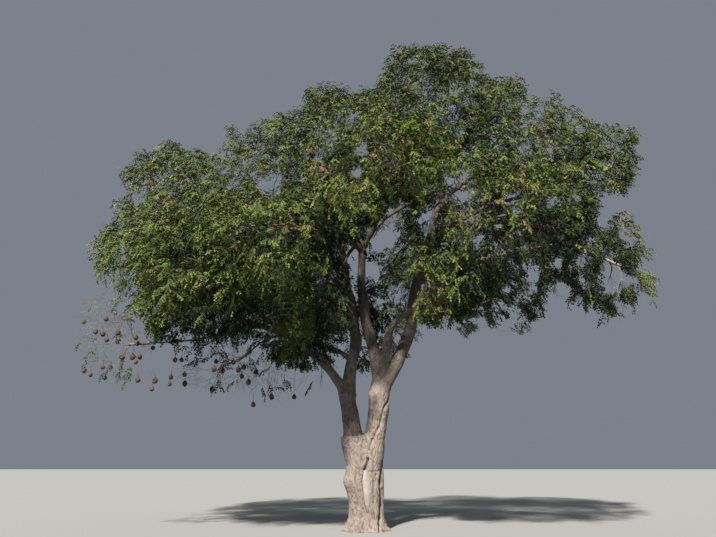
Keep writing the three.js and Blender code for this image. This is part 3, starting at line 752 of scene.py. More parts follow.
def two_limbs(places, names):
    """For each place: the two nearest limbs, the share of the first, and the nearest sample of every limb."""
    gaps, nearest = np.empty((len(names), len(places))), np.empty((len(names), len(places)), int)
    for number, name in enumerate(names):
        gaps[number], nearest[number] = gaps_to(places, limb_samples(name))
    order = gaps.argsort(0)[:2]
    apart = np.take_along_axis(gaps, order, 0)
    share = 0.5 + 0.5 * np.clip((apart[1] - apart[0]) / MEETING, 0, 1)
    return order, share, nearest


def pattern_places(places, number, names, nearest):
    """Each place in its limb's own pattern, two ways across and one along, and the radius of its foot."""
    result, foot = np.empty((len(places), 3)), np.empty(len(places))
    for i, name in enumerate(names):
        mine = number == i
        if name in UPRIGHT:
            result[mine], foot[mine] = places[mine], TRUNK_MIDDLE
            continue
        points, radii, along, heading, across, up = limb_samples(name)
        sample = nearest[i][mine]
        offset = places[mine] - points[sample]
        out = np.stack([(offset * across[sample]).sum(1), (offset * up[sample]).sum(1)], axis=1)
        round_it = unit(out) * radii[0]
        result[mine, :2] = round_it
        result[mine, 2] = along[sample] + (offset * heading[sample]).sum(1) + i * PATTERN_STEP
        foot[mine] = radii[0]
    return result, foot


print("samples along the limbs:", sum(len(limb_samples(name)[0]) for name in ["trunk", *LIMBS]))

# %% Noise drawn out into ridges
RIDGE_SPACING = (0.024, 0.056)  # least and most
RIDGES_PER_FOOT = 0.32  # spacing as a share of a limb's radius at its foot
RIDGE_STRETCH = 0.36
FINE_RIDGES = 2.3
FINE_SHIFT = 9.0
FINE_SHARE = 0.5
NOISE_APART = [Vector((0, 0, 0)), Vector((37.2, 11.5, 5.1)), Vector((-19.6, 53.4, 28.9))]
RIDGE_BENDS = 0.7
BEND_SCALE = 0.45
SPLIT_WIDTH = 0.15


def bell(distance, width):
    return np.exp(-((distance / width) ** 2))


def fade(value, low, high):
    """0 below low, 1 above high, smooth between."""
    t = np.clip((value - low) / (high - low), 0, 1)
    return t * t * (3 - 2 * t)


def noise_bend(place):
    """Three noise values from far-apart places, as one vector that is the same on each run."""
    return Vector([noise.noise(place + apart) for apart in NOISE_APART])


def ridge_noise(pattern, spacing, shift):
    """Noise whose features are as far apart as the ridges, drawn out along the limb and a little wavy."""
    scaled = pattern / spacing[:, None] * (1, 1, RIDGE_STRETCH)
    values = np.empty(len(scaled))
    for i, row in enumerate(scaled):
        place = Vector(row)
        place.x += shift
        values[i] = noise.noise(place + RIDGE_BENDS * noise_bend(place * BEND_SCALE))
    return values


def splits(places, number, names, nearest):
    """How much of a split each place is, from 0 to 1, and the ridges' spacing and pattern there."""
    pattern, foot = pattern_places(places, number, names, nearest)
    spacing = np.clip(foot * RIDGES_PER_FOOT, *RIDGE_SPACING)
    wide = bell(ridge_noise(pattern, spacing, 0.0), SPLIT_WIDTH)
    fine = bell(ridge_noise(pattern, spacing / FINE_RIDGES, FINE_SHIFT), SPLIT_WIDTH)
    return np.maximum(wide, FINE_SHARE * fine), spacing, pattern


print("fade halfway:", fade(0.5, 0, 1), "bell at its width:", round(float(bell(1, 1)), 2))

# %% Draw the trunk's own marks
FRONT_MARKS = [
    # places down the front in x and z, half width, depth
    ([(-0.06, 2.2), (0.04, 1.92), (0.08, 1.77), (0.06, 1.56)], 0.035, 0.045),
    ([(0.07, 1.6), (0.03, 1.47), (0.0, 1.36)], 0.02, 0.1),
    (
        [
            (-0.01, 1.38), (-0.05, 1.16), (-0.035, 0.95), (-0.015, 0.77),
            (0.015, 0.58), (0.07, 0.42), (0.1, 0.1),
        ],
        0.016, 0.045,
    ),
    ([(0.6, 2.98), (0.46, 2.75), (0.37, 2.35), (0.27, 2.21), (0.17, 1.97), (0.1, 1.8)], 0.03, 0.05),
    (
        [
            (0.43, 1.49), (0.41, 1.3), (0.38, 1.11), (0.37, 0.97),
            (0.4, 0.79), (0.39, 0.63), (0.36, 0.3), (0.33, 0.0),
        ],
        0.035, 0.075,
    ),
    ([(0.2, 1.5), (0.22, 1.1), (0.2, 0.7), (0.22, 0.3), (0.24, 0.0)], 0.03, 0.02),
    ([(0.16, 1.31), (0.33, 1.32), (0.45, 1.38)], 0.02, 0.014),
    ([(-0.26, 1.7), (-0.24, 1.3), (-0.22, 0.8), (-0.2, 0.3)], 0.035, 0.02),
    ([(-0.27, 2.02), (-0.2, 1.93), (-0.13, 1.97), (-0.14, 2.06), (-0.23, 2.1)], 0.02, 0.022),
    ([(-0.42, 1.9), (-0.3, 2.12), (-0.12, 2.2)], 0.03, 0.02),
    ([(0.22, 3.0), (0.18, 2.6), (0.12, 2.25)], 0.03, 0.02),
]
# painted shade: marks deeper than DARK_MARK, and the holes, are painted dark inside
DARK_MARK = 0.06  # marks deeper than this are dark inside
# lumps, holes and swells: middle, size, and how far they stand out or go in
FRONT_LUMPS = [
    ((-0.1, 1.25), 0.055, 0.02), ((-0.34, 1.98), 0.1, 0.03),
    ((0.3, 1.7), 0.09, 0.015), ((0.28, 0.85), 0.06, 0.015),
]
FRONT_HOLES = [((0.27, 1.24), 0.028, 0.05), ((0.385, 1.08), 0.035, 0.05)]
SIDE_SWELLS = [
    ((-0.42, -0.1, 1.07), 0.15, 0.05), ((-0.47, -0.05, 1.95), 0.2, 0.045), ((-0.2, -0.33, 1.98), 0.13, 0.03),
]
SCAR_HEIGHTS = [0.5, 0.58, 0.77, 0.95, 1.16, 1.3, 1.42]
SCAR_LEFT = [0.055, 0.025, -0.01, -0.03, -0.045, -0.03, 0.02]
SCAR_RIGHT = [0.058, 0.085, 0.1, 0.108, 0.095, 0.062, 0.028]
SCAR_SUNK = 0.02


def distance_to_path(x, z, path):
    """How far each place is from a line of straight stretches on the front."""
    best = np.full(len(x), np.inf)
    for (x0, z0), (x1, z1) in zip(path, path[1:]):
        dx, dz = x1 - x0, z1 - z0
        share = np.clip(((x - x0) * dx + (z - z0) * dz) / (dx * dx + dz * dz), 0, 1)
        best = np.minimum(best, np.hypot(x - x0 - share * dx, z - z0 - share * dz))
    return best


def trunk_marks(places, normals, push, split):
    """Lays the trunk's own marks over the ridges, and gives how bare of bark each corner is."""
    x, z = places[:, 0], places[:, 2]
    front = fade(-places[:, 1], 0.02, 0.12) * fade(-normals[:, 1], 0.05, 0.3)
    left, right = np.interp(z, SCAR_HEIGHTS, SCAR_LEFT), np.interp(z, SCAR_HEIGHTS, SCAR_RIGHT)
    height = fade(z, 0.5, 0.56) * (1 - fade(z, 1.36, 1.44))
    scar = fade(x, left - 0.008, left + 0.012) * (1 - fade(x, right - 0.02, right + 0.015)) * height * front
    push = push * (1 - 0.9 * scar) - SCAR_SUNK * scar
    split = split * (1 - scar)
    for path, width, deep in FRONT_MARKS:
        mark = bell(distance_to_path(x, z, path), width) * front
        push = push - deep * mark
        # painted shade inside the deep marks
        if deep > DARK_MARK:
            split = np.maximum(split, fade(mark, 0.4, 0.95))
    for (hole_x, hole_z), width, deep in FRONT_HOLES:
        mark = bell(np.hypot(x - hole_x, (z - hole_z) * 0.6), width) * front
        push = push - deep * mark
        # painted shade inside the holes
        split = np.maximum(split, mark)
    for (lump_x, lump_z), width, swell in FRONT_LUMPS:
        push = push + swell * bell(np.hypot(x - lump_x, (z - lump_z) * 0.5), width) * front
    for centre, width, swell in SIDE_SWELLS:
        push = push + swell * bell(np.linalg.norm(places - np.array(centre), axis=1), width)
    across = (x - left) / np.maximum(right - left, 0.01)
    return push, split, scar * (1 - 0.75 * fade(across, 0.1, 0.7))


print("marks:", len(FRONT_MARKS), "lumps:", len(FRONT_LUMPS) + len(SIDE_SWELLS), "holes:", len(FRONT_HOLES))

# %% Push the ridges and marks into the skins
SPLIT_SHARE = 0.2  # depth as a share of the spacing
SPLIT_DEEPEST = 0.0125
LUMP_SIZE = 0.045
KNOT = ((0.57, -0.5, 4.6), 0.1, 0.03)  # an old cut end on the front bough: middle, size, swell


def add_attribute(obj, name, values, kind="FLOAT"):
    attribute = obj.data.attributes.new(name, kind, "POINT")
    field = "value" if kind == "FLOAT" else "vector"
    attribute.data.foreach_set(field, np.ascontiguousarray(values, np.float32).ravel())


def carve_bark(skin, names):
    """Moves each corner of a skin in or out, and notes how split, bare and stretched it is for the finish."""
    places, normals = vertex_array(skin), vertex_array(skin, "normal")
    order, share, nearest = two_limbs(places, names)
    split, spacing, pattern = splits(places, order[0], names, nearest)
    meet = np.flatnonzero(share < 1)
    second = splits(places[meet], order[1][meet], names, nearest[:, meet])[0]
    split[meet] = share[meet] * split[meet] + (1 - share[meet]) * second
    lumps = smooth_noise(places, 3.1, 21.0) + 0.5 * smooth_noise(places, 9.0, 4.0)
    deepest = np.minimum(SPLIT_SHARE * spacing, SPLIT_DEEPEST)
    push = lumps * LUMP_SIZE * spacing / RIDGES_PER_FOOT - deepest * split
    bare = np.zeros(len(places))
    if "trunk" in names:
        push, split, bare = trunk_marks(places, normals, push, split)
        knot = bell(np.linalg.norm(places - np.array(KNOT[0]), axis=1), KNOT[1])
        push, bare = push + KNOT[2] * knot, np.maximum(bare, 0.7 * fade(knot, 0.3, 0.7))
    set_vertices(skin, places + normals * push[:, None])
    add_attribute(skin, "split", split)
    add_attribute(skin, "bare_wood", bare)
    add_attribute(skin, "grain", pattern, "FLOAT_VECTOR")
    print(skin.name, "deepest:", round(float(push.min()), 3), "m")


carve_bark(main_skin, ["trunk"] + MAIN_LIMBS)
carve_bark(bough_skin, BOUGHS)

# %% [markdown]
# ### Fewer triangles, and the flat foot
#
# The skins are carved finer than they can stay. Collapsing short edges takes away most of the flat places
# and keeps the edges of the ridges. Then everything below the ground is cut off.

# %% Thin the skins and cut the foot
SKIN_TRIANGLES = {"trunk_and_limbs": 190000, "boughs": 120000}
GROUND_CUT = 0.001


def triangles(obj):
    return sum(len(face.vertices) - 2 for face in obj.data.polygons)


for skin in (main_skin, bough_skin):
    ratio = SKIN_TRIANGLES[skin.name] / triangles(skin)
    apply_modifier(skin, "DECIMATE", ratio=min(ratio, 1))
edit_select(main_skin, lambda centre, normal: True)
bpy.ops.mesh.bisect(plane_co=(0, 0, GROUND_CUT), plane_no=(0, 0, 1), use_fill=True, clear_inner=True)
bpy.ops.object.mode_set(mode="OBJECT")
print("triangles:", triangles(main_skin), triangles(bough_skin))

# %% [markdown]
# ### Bark finish
#
# Ridges are a pale grey-tan and the splits between them brown and dark: partly the bark's own colour, partly
# painted shade in the splits. The skin carries how deep each place lies as an attribute, so the colours sit
# exactly in the relief. Fine grain is stretched along each limb with the `grain` attribute, and a bump node
# adds the crumbs that the mesh is too coarse for. Higher up the bark is painted darker, as shade of the
# crown.

# %% Make the bark materials
GRAIN_STRETCH = 0.3
# painted shade: above these heights the crown's shade is painted into the bark as a darker colour
CROWN_SHADE_HEIGHTS = (3.4, 4.4)  # between these heights the bark turns darker


def noise_texture(maker, places, scale, detail, roughness=0.5):
    settings = {"Vector": places, "Scale": scale, "Detail": detail, "Roughness": roughness}
    return maker.node("TexNoise", {}, settings, "Fac")


def mapped(maker, value, given, wanted, blend="LINEAR"):
    """Turns the range of values given into the range wanted."""
    low, high = given
    limits = {"Value": value, "From Min": low, "From Max": high, "To Min": wanted[0], "To Max": wanted[1]}
    return maker.node("MapRange", {"interpolation_type": blend}, limits, "Result")


def coloured(maker, value, stops):
    """Turns a value from 0 to 1 into a colour between the stops."""
    return maker.node("ValToRGB", {"stops": stops}, {"Fac": value}, "Color")


def bumped(maker, height, strength, distance):
    return maker.node("Bump", {}, {"Strength": strength, "Distance": distance, "Height": height}, "Normal")


def bark_material(name, ridge, flank, deep, grain_scale, crown_shade_share):
    """Pale ridges, dark splits and bare wood. High up the bark is darker, by the share given last: painted
    shade of the crown.
    """
    material, shader, maker = new_material(name, 0.92)
    split = maker.node("Attribute", {"attribute_name": "split"}, {}, "Fac")
    bare = maker.node("Attribute", {"attribute_name": "bare_wood"}, {}, "Fac")
    grain = maker.node("Attribute", {"attribute_name": "grain"}, {}, "Vector")
    scale = (grain_scale, grain_scale, grain_scale * GRAIN_STRETCH)
    stretched = maker.node("Mapping", {}, {"Vector": grain, "Scale": scale})
    crumbs = noise_texture(maker, stretched, 3.0, 5.0, 0.65)
    stains = noise_texture(maker, grain, 5.0, 4.0, 0.6)
    tone = coloured(maker, stains, [(0.36, flank), (0.54, ridge)])
    ragged = split * 1.25 + (crumbs - 0.5) * 1.1
    depth = mapped(maker, ragged, (0.5, 1.3), (0.0, 0.75), "SMOOTHSTEP")
    # the splits turn to the deep colour: partly the bark's own colour, partly painted shade
    color = maker.node("Mix", {"data_type": "RGBA"}, {0: depth, 6: tone, 7: deep}, 2)
    speckle = mapped(maker, crumbs, (0.35, 0.68), (0.8, 1.2))
    up = maker.node("SeparateXYZ", {}, {0: maker.node("TexCoord", {}, {}, "Object")}, 2)
    # painted shade of the crown: the bark is darker above the heights given
    painted_crown_shade = mapped(maker, up, CROWN_SHADE_HEIGHTS, (1.0, crown_shade_share))
    shade = speckle * painted_crown_shade
    grey = maker.node("CombineXYZ", {}, {0: shade, 1: shade, 2: shade})
    multiply = {"data_type": "RGBA", "blend_type": "MULTIPLY"}
    speckled = maker.node("Mix", multiply, {0: 1.0, 6: color, 7: grey}, 2)
    streaks = noise_texture(maker, stretched, 1.2, 4.0)
    wood = coloured(maker, streaks, [(0.35, linear(150, 137, 125)), (0.6, linear(182, 171, 159))])
    final = maker.node("Mix", {"data_type": "RGBA"}, {0: bare, 6: speckled, 7: wood}, 2)
    feed(shader, "Base Color", final)
    feed(shader, "Roughness", 0.95 - bare * 0.25)
    height = crumbs * (1 - bare * 0.7) - split * 0.4
    feed(shader, "Normal", bumped(maker, height, 0.7, 0.01))
    return material


# the last number of each bark says how dark its painted shade of the crown is high up
main_skin.data.materials.append(
    bark_material("fissured_bark", linear(146, 131, 117), linear(124, 109, 96), linear(84, 72, 62), 11.0, 0.6)
)
# the boughs' colours are darker than the trunk's: partly their own colour, partly painted shade of the crown
bough_skin.data.materials.append(
    bark_material("bough_bark", linear(112, 99, 88), linear(88, 77, 68), linear(54, 46, 40), 16.0, 0.9)
)
for skin, slot, nodes in (
    (main_skin, "bark", ["trunk"] + MAIN_LIMBS),
    (bough_skin, "bough_bark", BOUGHS),
):
    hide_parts(*nodes)
    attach(skin, "root")
print("finished:", main_skin.name, "and", bough_skin.name)

# %% [markdown]
# ## The crown's edge and its openings
#
# A crown has a ragged outline, and sky shows through it beside the leaders. Both are set as the viewer sees
# them, as places on an upright plane through the trunk. A leaf is left out where the line of sight through
# it meets that plane beyond the edge or inside an opening.

# %% Where the viewer sees the crown and the sky
CROWN_EDGE = [
    # x and z, once round the crown from its top, only where the edge turns
    (1.3, 12.9), (2.3, 12.8), (3.0, 12.6), (3.5, 11.8), (4.2, 11.9), (4.6, 11.3), (5.5, 11.3), (5.6, 10.9),
    (6.1, 10.7), (6.4, 10.3), (7.5, 10.3), (7.4, 9.6), (7.2, 8.8), (6.9, 8.4), (6.1, 8.2), (6.3, 7.6),
    (7.0, 7.8), (7.1, 7.2), (7.5, 6.7), (7.1, 6.5), (7.5, 6.0), (7.4, 5.4), (6.9, 5.7), (6.7, 5.1),
    (6.2, 5.1), (5.8, 4.8), (5.7, 5.4), (5.3, 5.0), (5.1, 5.6), (4.6, 5.9), (4.4, 5.1), (3.9, 4.6),
    (3.7, 4.7), (3.9, 5.4), (3.3, 4.8), (2.7, 4.6), (2.1, 4.8), (1.5, 4.8), (1.5, 4.3), (1.1, 4.2),
    (0.8, 3.7), (-2.1, 3.7), (-2.5, 4.2), (-2.9, 3.8), (-3.3, 4.1), (-3.7, 3.8), (-4.2, 4.2), (-4.6, 3.9),
    (-4.8, 4.4), (-5.2, 4.4), (-5.6, 5.0), (-6.4, 5.2), (-6.2, 6.1), (-6.7, 5.8), (-7.0, 6.4), (-7.0, 7.1),
    (-6.6, 7.6), (-6.4, 8.4), (-6.4, 9.1), (-6.1, 9.5), (-5.1, 9.9), (-4.1, 9.5), (-3.7, 9.8), (-4.0, 10.2),
    (-2.9, 10.4), (-2.4, 10.7), (-1.8, 10.8), (-1.6, 11.6), (-0.5, 11.6), (-0.4, 11.3), (0.3, 11.4),
    (0.6, 12.2),
]
OPENINGS = [
    # middle in x and z, half width, half height
    (6.3, 6.1, 0.35, 0.4), (0.7, 7.2, 0.25, 0.3), (0.25, 6.25, 0.25, 0.25), (-2.5, 8.55, 0.35, 0.15),
    (-0.2, 8.95, 0.2, 0.15), (2.5, 8.3, 0.2, 0.15), (6.7, 7.2, 0.15, 0.25), (5.55, 6.5, 0.15, 0.25),
    (4.9, 6.5, 0.25, 0.15), (4.3, 6.1, 0.2, 0.2), (-0.55, 4.2, 0.15, 0.15), (5.0, 8.15, 0.2, 0.15),
    (1.6, 7.7, 0.1, 0.2), (0.4, 5.45, 0.1, 0.15), (0.8, 5.6, 0.15, 0.15), (5.65, 10.45, 0.2, 0.1),
    (-4.3, 8.8, 0.15, 0.1), (-0.3, 10.6, 0.15, 0.15), (4.9, 10.95, 0.1, 0.1), (0.85, 4.55, 0.1, 0.15),
    (6.7, 8.95, 0.1, 0.1), (-5.85, 5.9, 0.1, 0.1), (-0.05, 9.6, 0.2, 0.2), (6.2, 7.6, 0.2, 0.3),
    (5.0, 5.75, 0.25, 0.25), (2.95, 4.85, 0.15, 0.25), (6.5, 8.2, 0.35, 0.15), (5.35, 5.15, 0.15, 0.25),
    (6.65, 5.3, 0.1, 0.2), (2.05, 4.95, 0.1, 0.15), (-6.75, 7.55, 0.1, 0.15),
]
SIGHTS = [
    # stretches of limb that show: two ends in x and z, half the width, and how far back the view is clear
    (0.05, 7.08, 1.05, 7.96, 0.15, -0.1), (-0.5, 6.6, 0.02, 7.03, 0.13, -0.1),
    (1.9, 8.25, 1.7, 7.2, 0.13, 0.1), (1.1, 5.4, 1.42, 6.05, 0.17, 0.1),
    (-0.24, 3.5, -0.33, 4.6, 0.2, 0.1), (0.1, 4.6, -0.1, 6.6, 0.12, 0.1),
]
AIRY = [
    # middle in x and z, half width, half height, share of the shoots that stay, and the noise above which a
    # hole opens: the lower it is, the more holes
    (5.1, 5.5, 1.7, 0.75, 1.0, 0.2), (6.7, 6.3, 0.9, 1.6, 1.0, 0.25), (3.3, 5.0, 0.9, 0.45, 0.9, 0.2),
    (2.0, 4.7, 0.7, 0.4, 0.65, 0.3), (-6.4, 5.7, 0.7, 0.6, 0.5, 0.2), (-3.9, 4.2, 1.5, 0.5, 0.75, 0.1),
    (5.0, 6.7, 1.5, 0.6, 1.0, 0.24), (4.9, 8.1, 1.2, 0.5, 1.0, 0.27), (1.3, 8.1, 0.7, 0.6, 1.0, 0.25),
    (-3.2, 8.6, 1.3, 0.5, 1.0, 0.27), (3.3, 7.1, 0.9, 0.5, 1.0, 0.27), (2.4, 8.6, 0.5, 0.5, 1.0, 0.22),
]
edge_x, edge_z = zip(*CROWN_EDGE)
print("crown from", min(edge_x), "to", max(edge_x), "m, top at", max(edge_z), "m, openings:", len(OPENINGS))

# %% Leave out what would hide the sky or a limb
SPECKLE_SCALE = 4.6
SPECKLE_SLICE = 0.7  # the holes are read from one flat slice of the noise
RAGGED_EDGE = (1.9, 0.3, 31.0)  # bends for each metre, how far they reach, and a shift of the noise
RAGGED_OPENING = (4.6, 0.2, 57.0)
BOX_MARGIN = 0.024  # leaves may stand this share of a side outside the frame's box


def shaken(places, bends, reach, shift):
    """Places moved a little, neighbours alike."""
    offset = Vector((shift, shift, shift))
    return places + reach * np.array([noise_bend(Vector(place) * bends + offset) for place in places])


def seen_on_plane(places):
    """Where the line of sight through each place meets the upright plane through the trunk, as x and z."""
    share = -EYE[1] / (places[:, 1] - EYE[1])
    return EYE[0] + (places[:, 0] - EYE[0]) * share, EYE[2] + (places[:, 2] - EYE[2]) * share


def within_edge(x, z):
    """A place is inside where a line to its right crosses the edge an odd number of times."""
    inside = np.zeros(len(x), bool)
    for (x_1, z_1), (x_2, z_2) in zip(CROWN_EDGE, CROWN_EDGE[1:] + CROWN_EDGE[:1]):
        if z_1 != z_2:
            crosses = (z_1 > z) != (z_2 > z)
            inside ^= crosses & (x < x_1 + (z - z_1) / (z_2 - z_1) * (x_2 - x_1))
    return inside


def in_oval(x, z, middle_x, middle_z, half_x, half_z):
    return ((x - middle_x) / half_x) ** 2 + ((z - middle_z) / half_z) ** 2 < 1


def hidden_from_view(places):
    """Which places the viewer would see in an opening, before a limb or beyond the crown's edge."""
    if not len(places):
        return np.zeros(0, bool)
    hidden = ~within_edge(*seen_on_plane(shaken(places, *RAGGED_EDGE)))
    x, z = seen_on_plane(shaken(places, *RAGGED_OPENING))
    for opening in OPENINGS:
        hidden |= in_oval(x, z, *opening)
    slices = [Vector((at_x, SPECKLE_SLICE, at_z)) for at_x, at_z in zip(x, z)]
    speckle = np.array([noise.noise(place * SPECKLE_SCALE) for place in slices])
    for *oval, _, level in AIRY:
        hidden |= in_oval(x, z, *oval) & (speckle > level)
    for x_1, z_1, x_2, z_2, half_width, depth in SIGHTS:
        way = np.array([x_2 - x_1, z_2 - z_1])
        share = np.clip(((x - x_1) * way[0] + (z - z_1) * way[1]) / (way @ way), 0, 1)
        away = np.hypot(x - x_1 - share * way[0], z - z_1 - share * way[1])
        hidden |= (away < half_width) & (places[:, 1] < depth)
    return hidden


def thinned(places, chance):
    """Which places stay where the crown is airy."""
    x, z = seen_on_plane(places)
    stay = np.ones(len(x), bool)
    for *oval, share, _ in AIRY:
        stay &= ~in_oval(x, z, *oval) | (chance.random(len(x)) < share)
    return stay


def outside_box(places):
    low, high = np.array(cad_box)
    margin = BOX_MARGIN * (high - low)
    return ((places < low - margin) | (places > high + margin)).any(1)


mass_middles = np.array([centre for centre, _ in MASSES.values()])
print("middles of masses hidden from view:", int(hidden_from_view(mass_middles).sum()))

# %% [markdown]
# ## Branchlets
#
# The solids grow each mass from one stem by a rule: the tips are places spread over the mass, and each,
# nearest first, joins the free bud that makes the shortest way back to the bough. The same rule with the
# same random numbers is followed here, and then carried on: many more places join the twigs that are there,
# and short arching shoots grow from those.


# %% The same random numbers as the solids' own rule
def seeded(seed):
    """Random numbers from 0 to 1, the same as the solids' rule draws from this seed."""
    mask = 0xFFFFFFFF
    state = seed & mask

    def draw():
        nonlocal state
        state = (state + 0x6D2B79F5) & mask
        mixed = ((state ^ (state >> 15)) * (state | 1)) & mask
        mixed ^= (mixed + (((mixed ^ (mixed >> 7)) * (mixed | 61)) & mask)) & mask
        return ((mixed ^ (mixed >> 14)) & mask) / 4294967296

    return draw


FIRST_SEED = 101
SEED_STEP = 7
first_draw = seeded(FIRST_SEED)
print("first numbers:", [round(first_draw(), 4) for _ in range(3)])

# %% Spread places over a mass
GOLDEN_ANGLE = math.pi * (3 - math.sqrt(5))
PLACES_TRIED = 60
REACH = (0.56, 0.68)
TIPS_PER_MASS = 7


def spiral(count, reaches, space):
    """Places on a golden spiral over a mass, at the given reaches."""
    number = np.arange(count)
    height = 1 - (2 * number + 1) / count
    ring = np.sqrt(1 - height**2)
    turn = number * GOLDEN_ANGLE
    places = np.stack([ring * np.cos(turn), ring * np.sin(turn), height], axis=1)
    return places * space.half * np.asarray(reaches)[:, None] + space.centre


def first_places(space, root, draw):
    """The places that the solids' own twigs reach, each as far from the others as there is room."""
    reaches = [REACH[0] + (REACH[1] - REACH[0]) * draw() for _ in range(PLACES_TRIED)]
    places = spiral(PLACES_TRIED, reaches, space)
    places = places[space.holds(places)]
    chosen = [root]
    while len(chosen) <= TIPS_PER_MASS and len(places):
        room = np.min([np.linalg.norm(places - other, axis=1) for other in chosen], axis=0)
        chosen.append(places[room.argmax()])
        places = np.delete(places, room.argmax(), axis=0)
    return np.array(chosen[1:])


print("places tried for each mass:", PLACES_TRIED, "turn:", round(math.degrees(GOLDEN_ANGLE), 1), "degrees")

# %% Keep twigs off the limbs
LIMB_PIECE = 0.3
LIMB_MARGIN = 0.03
TWIG_PIECE = 0.06


def limb_pieces():
    """Every limb as short straight pieces: both ends, the radius and the limb's name."""
    starts, ends, radii, names = [], [], [], []
    for name, (line, (first, last)) in limbs.items():
        steps = max(2, round(line.length / LIMB_PIECE))
        points = line.at(np.linspace(0, 1, steps + 1))
        starts.append(points[:-1])
        ends.append(points[1:])
        radii.append(first + (last - first) * np.arange(steps) / steps)
        names += [name] * steps
    return np.vstack(starts), np.vstack(ends), np.concatenate(radii), np.array(names)


PIECES = limb_pieces()


def clearance(places, skip=None):
    """Distance from each place to the skin of the nearest limb, but not to the one named skip."""
    starts, ends, radii, names = PIECES
    keep = names != skip
    starts, ends, radii = starts[keep], ends[keep], radii[keep]
    way = ends - starts
    best = np.empty(len(places))
    for first in range(0, len(places), CHUNK):
        offset = places[first : first + CHUNK, None, :] - starts[None]
        share = np.clip((offset * way).sum(2) / (way**2).sum(1), 0, 1)
        distance = np.linalg.norm(offset - share[..., None] * way, axis=2)
        best[first : first + CHUNK] = (distance - radii).min(1)
    return best


def touches_limb(start, end, radius, skip):
    steps = max(1, math.ceil(np.linalg.norm(end - start) / TWIG_PIECE))
    places = start + (end - start) * np.linspace(0, 1, steps + 1)[:, None]
    return clearance(places, skip).min() < radius + LIMB_MARGIN


print("straight pieces of limb:", len(PIECES[0]))

# %% A twig, and the buds where others may start
BUD_END = 0.35
DETOUR = 0.45
TWIG_RADIUS = 0.013
TWIG_GROWTH = 0.6
TWIG_TAPER = 0.55
TWIG_SEAT = 0.45
TWIG_POINTS = 5
FINE_RADIUS = 0.0045
FINE_THICKER = 0.006  # radius for each metre of a fine twig's length
LEAVING = 0.35  # how far a twig keeps to the direction in which it leaves, as a share of its length
TURNING = 0.2


class Twig:
    """A line that leaves another twig, and the way from its foot back to the bough."""

    def __init__(self, points, parent=None, along=0.0, fine=False, limb=None):
        self.line = Line(points)
        self.parent = parent
        self.along = along
        self.way = parent.way + along * parent.line.length if parent and not parent.limb else 0.0
        self.tips = 0
        self.fine = fine
        self.limb = limb

    def radius(self, along, thin=1.0):
        if self.limb:
            first, last = limbs[self.limb][1]
            return first + (last - first) * along
        own = TWIG_RADIUS * self.tips**TWIG_GROWTH
        if self.fine:
            own = FINE_RADIUS + FINE_THICKER * self.line.length
        own *= thin
        if self.parent:
            own = min(own, TWIG_SEAT * self.parent.radius(self.along, thin))
        return own * (1 + (TWIG_TAPER - 1) * along)


class Buds:
    """Free buds on twigs. A place joins the one that makes the shortest way back to the bough."""

    def __init__(self):
        self.places = np.empty((0, 3))
        self.ways = np.empty(0)
        self.owners = []
        self.along = []

    def add(self, twig, spacing, first=0.0):
        count = math.floor(twig.line.length / spacing)
        along = (np.arange(count) + 1) / (count + BUD_END)
        along = along[along > first]
        self.places = np.vstack([self.places, twig.line.at(along).reshape(-1, 3)])
        self.ways = np.append(self.ways, twig.way + along * (0 if twig.limb else twig.line.length))
        self.owners += [twig] * len(along)
        self.along += list(along)

    def best(self, place):
        return int((np.linalg.norm(self.places - place, axis=1) + DETOUR * self.ways).argmin())

    def clear_round(self, place, room):
        keep = np.flatnonzero(np.linalg.norm(self.places - place, axis=1) > room)
        self.places, self.ways = self.places[keep], self.ways[keep]
        self.owners = [self.owners[i] for i in keep]
        self.along = [self.along[i] for i in keep]


def arched(start, end, leave, lift):
    """A line from start to end that leaves in the direction given and arches over by lift."""
    length = np.linalg.norm(end - start)
    control = start + leave * length * LEAVING + (end - start) * TURNING + np.array([0, 0, lift * length])
    t = np.linspace(0, 1, TWIG_POINTS)[:, None]
    return (1 - t) ** 2 * start + 2 * t * (1 - t) * control + t**2 * end


sample_arch = arched(np.zeros(3), np.array([1.0, 0, 0]), np.array([0, 0, 1.0]), 0.1)
print("an arch of 1 m rises", round(float(sample_arch[:, 2].max()), 2), "m")

# %% Join a twig to the best bud
BUD_SPACING = 0.19
FINE_SPACING = 0.1
FINE_ARCH = 0.13
FINE_ARCHES = (0.3, 1.5)  # least and most, as a share of the arch


def join(place, buds, twigs, room, chance=None, limb_name=None):
    """Grows a twig from the best free bud to a place, unless it would touch a limb."""
    if not len(buds.places):
        return
    best = buds.best(place)
    start, owner, along = buds.places[best], buds.owners[best], buds.along[best]
    skip = owner.limb or limb_name
    if touches_limb(start, place, 2 * TWIG_RADIUS, skip):
        return
    fine = chance is not None
    points = np.array([start, place])
    if fine:
        points = arched(start, place, owner.line.heading(along), FINE_ARCH * chance.uniform(*FINE_ARCHES))
    twig = Twig(points, owner, along, fine)
    twigs.append(twig)
    buds.clear_round(start, room)
    buds.add(twig, FINE_SPACING if fine else BUD_SPACING)


# %% Grow a mass's twigs
SEAM = 0.0004  # metres from a bough's tip to the foot of its mass's stem
STEM_SHARE = 0.3
STEM_REACH = 0.85
BUD_ROOM = 0.12
COARSE_ARCH = 0.14
COARSE_ARCHES = (-0.4, 1.0)
FINE_PLACES = 330
BARE_PLACES = 160
FINE_REACH = (0.4, 0.94)
FINE_CROWDING = 0.6  # below 1, so that more places lie far out
FINE_ROOM = 0.045


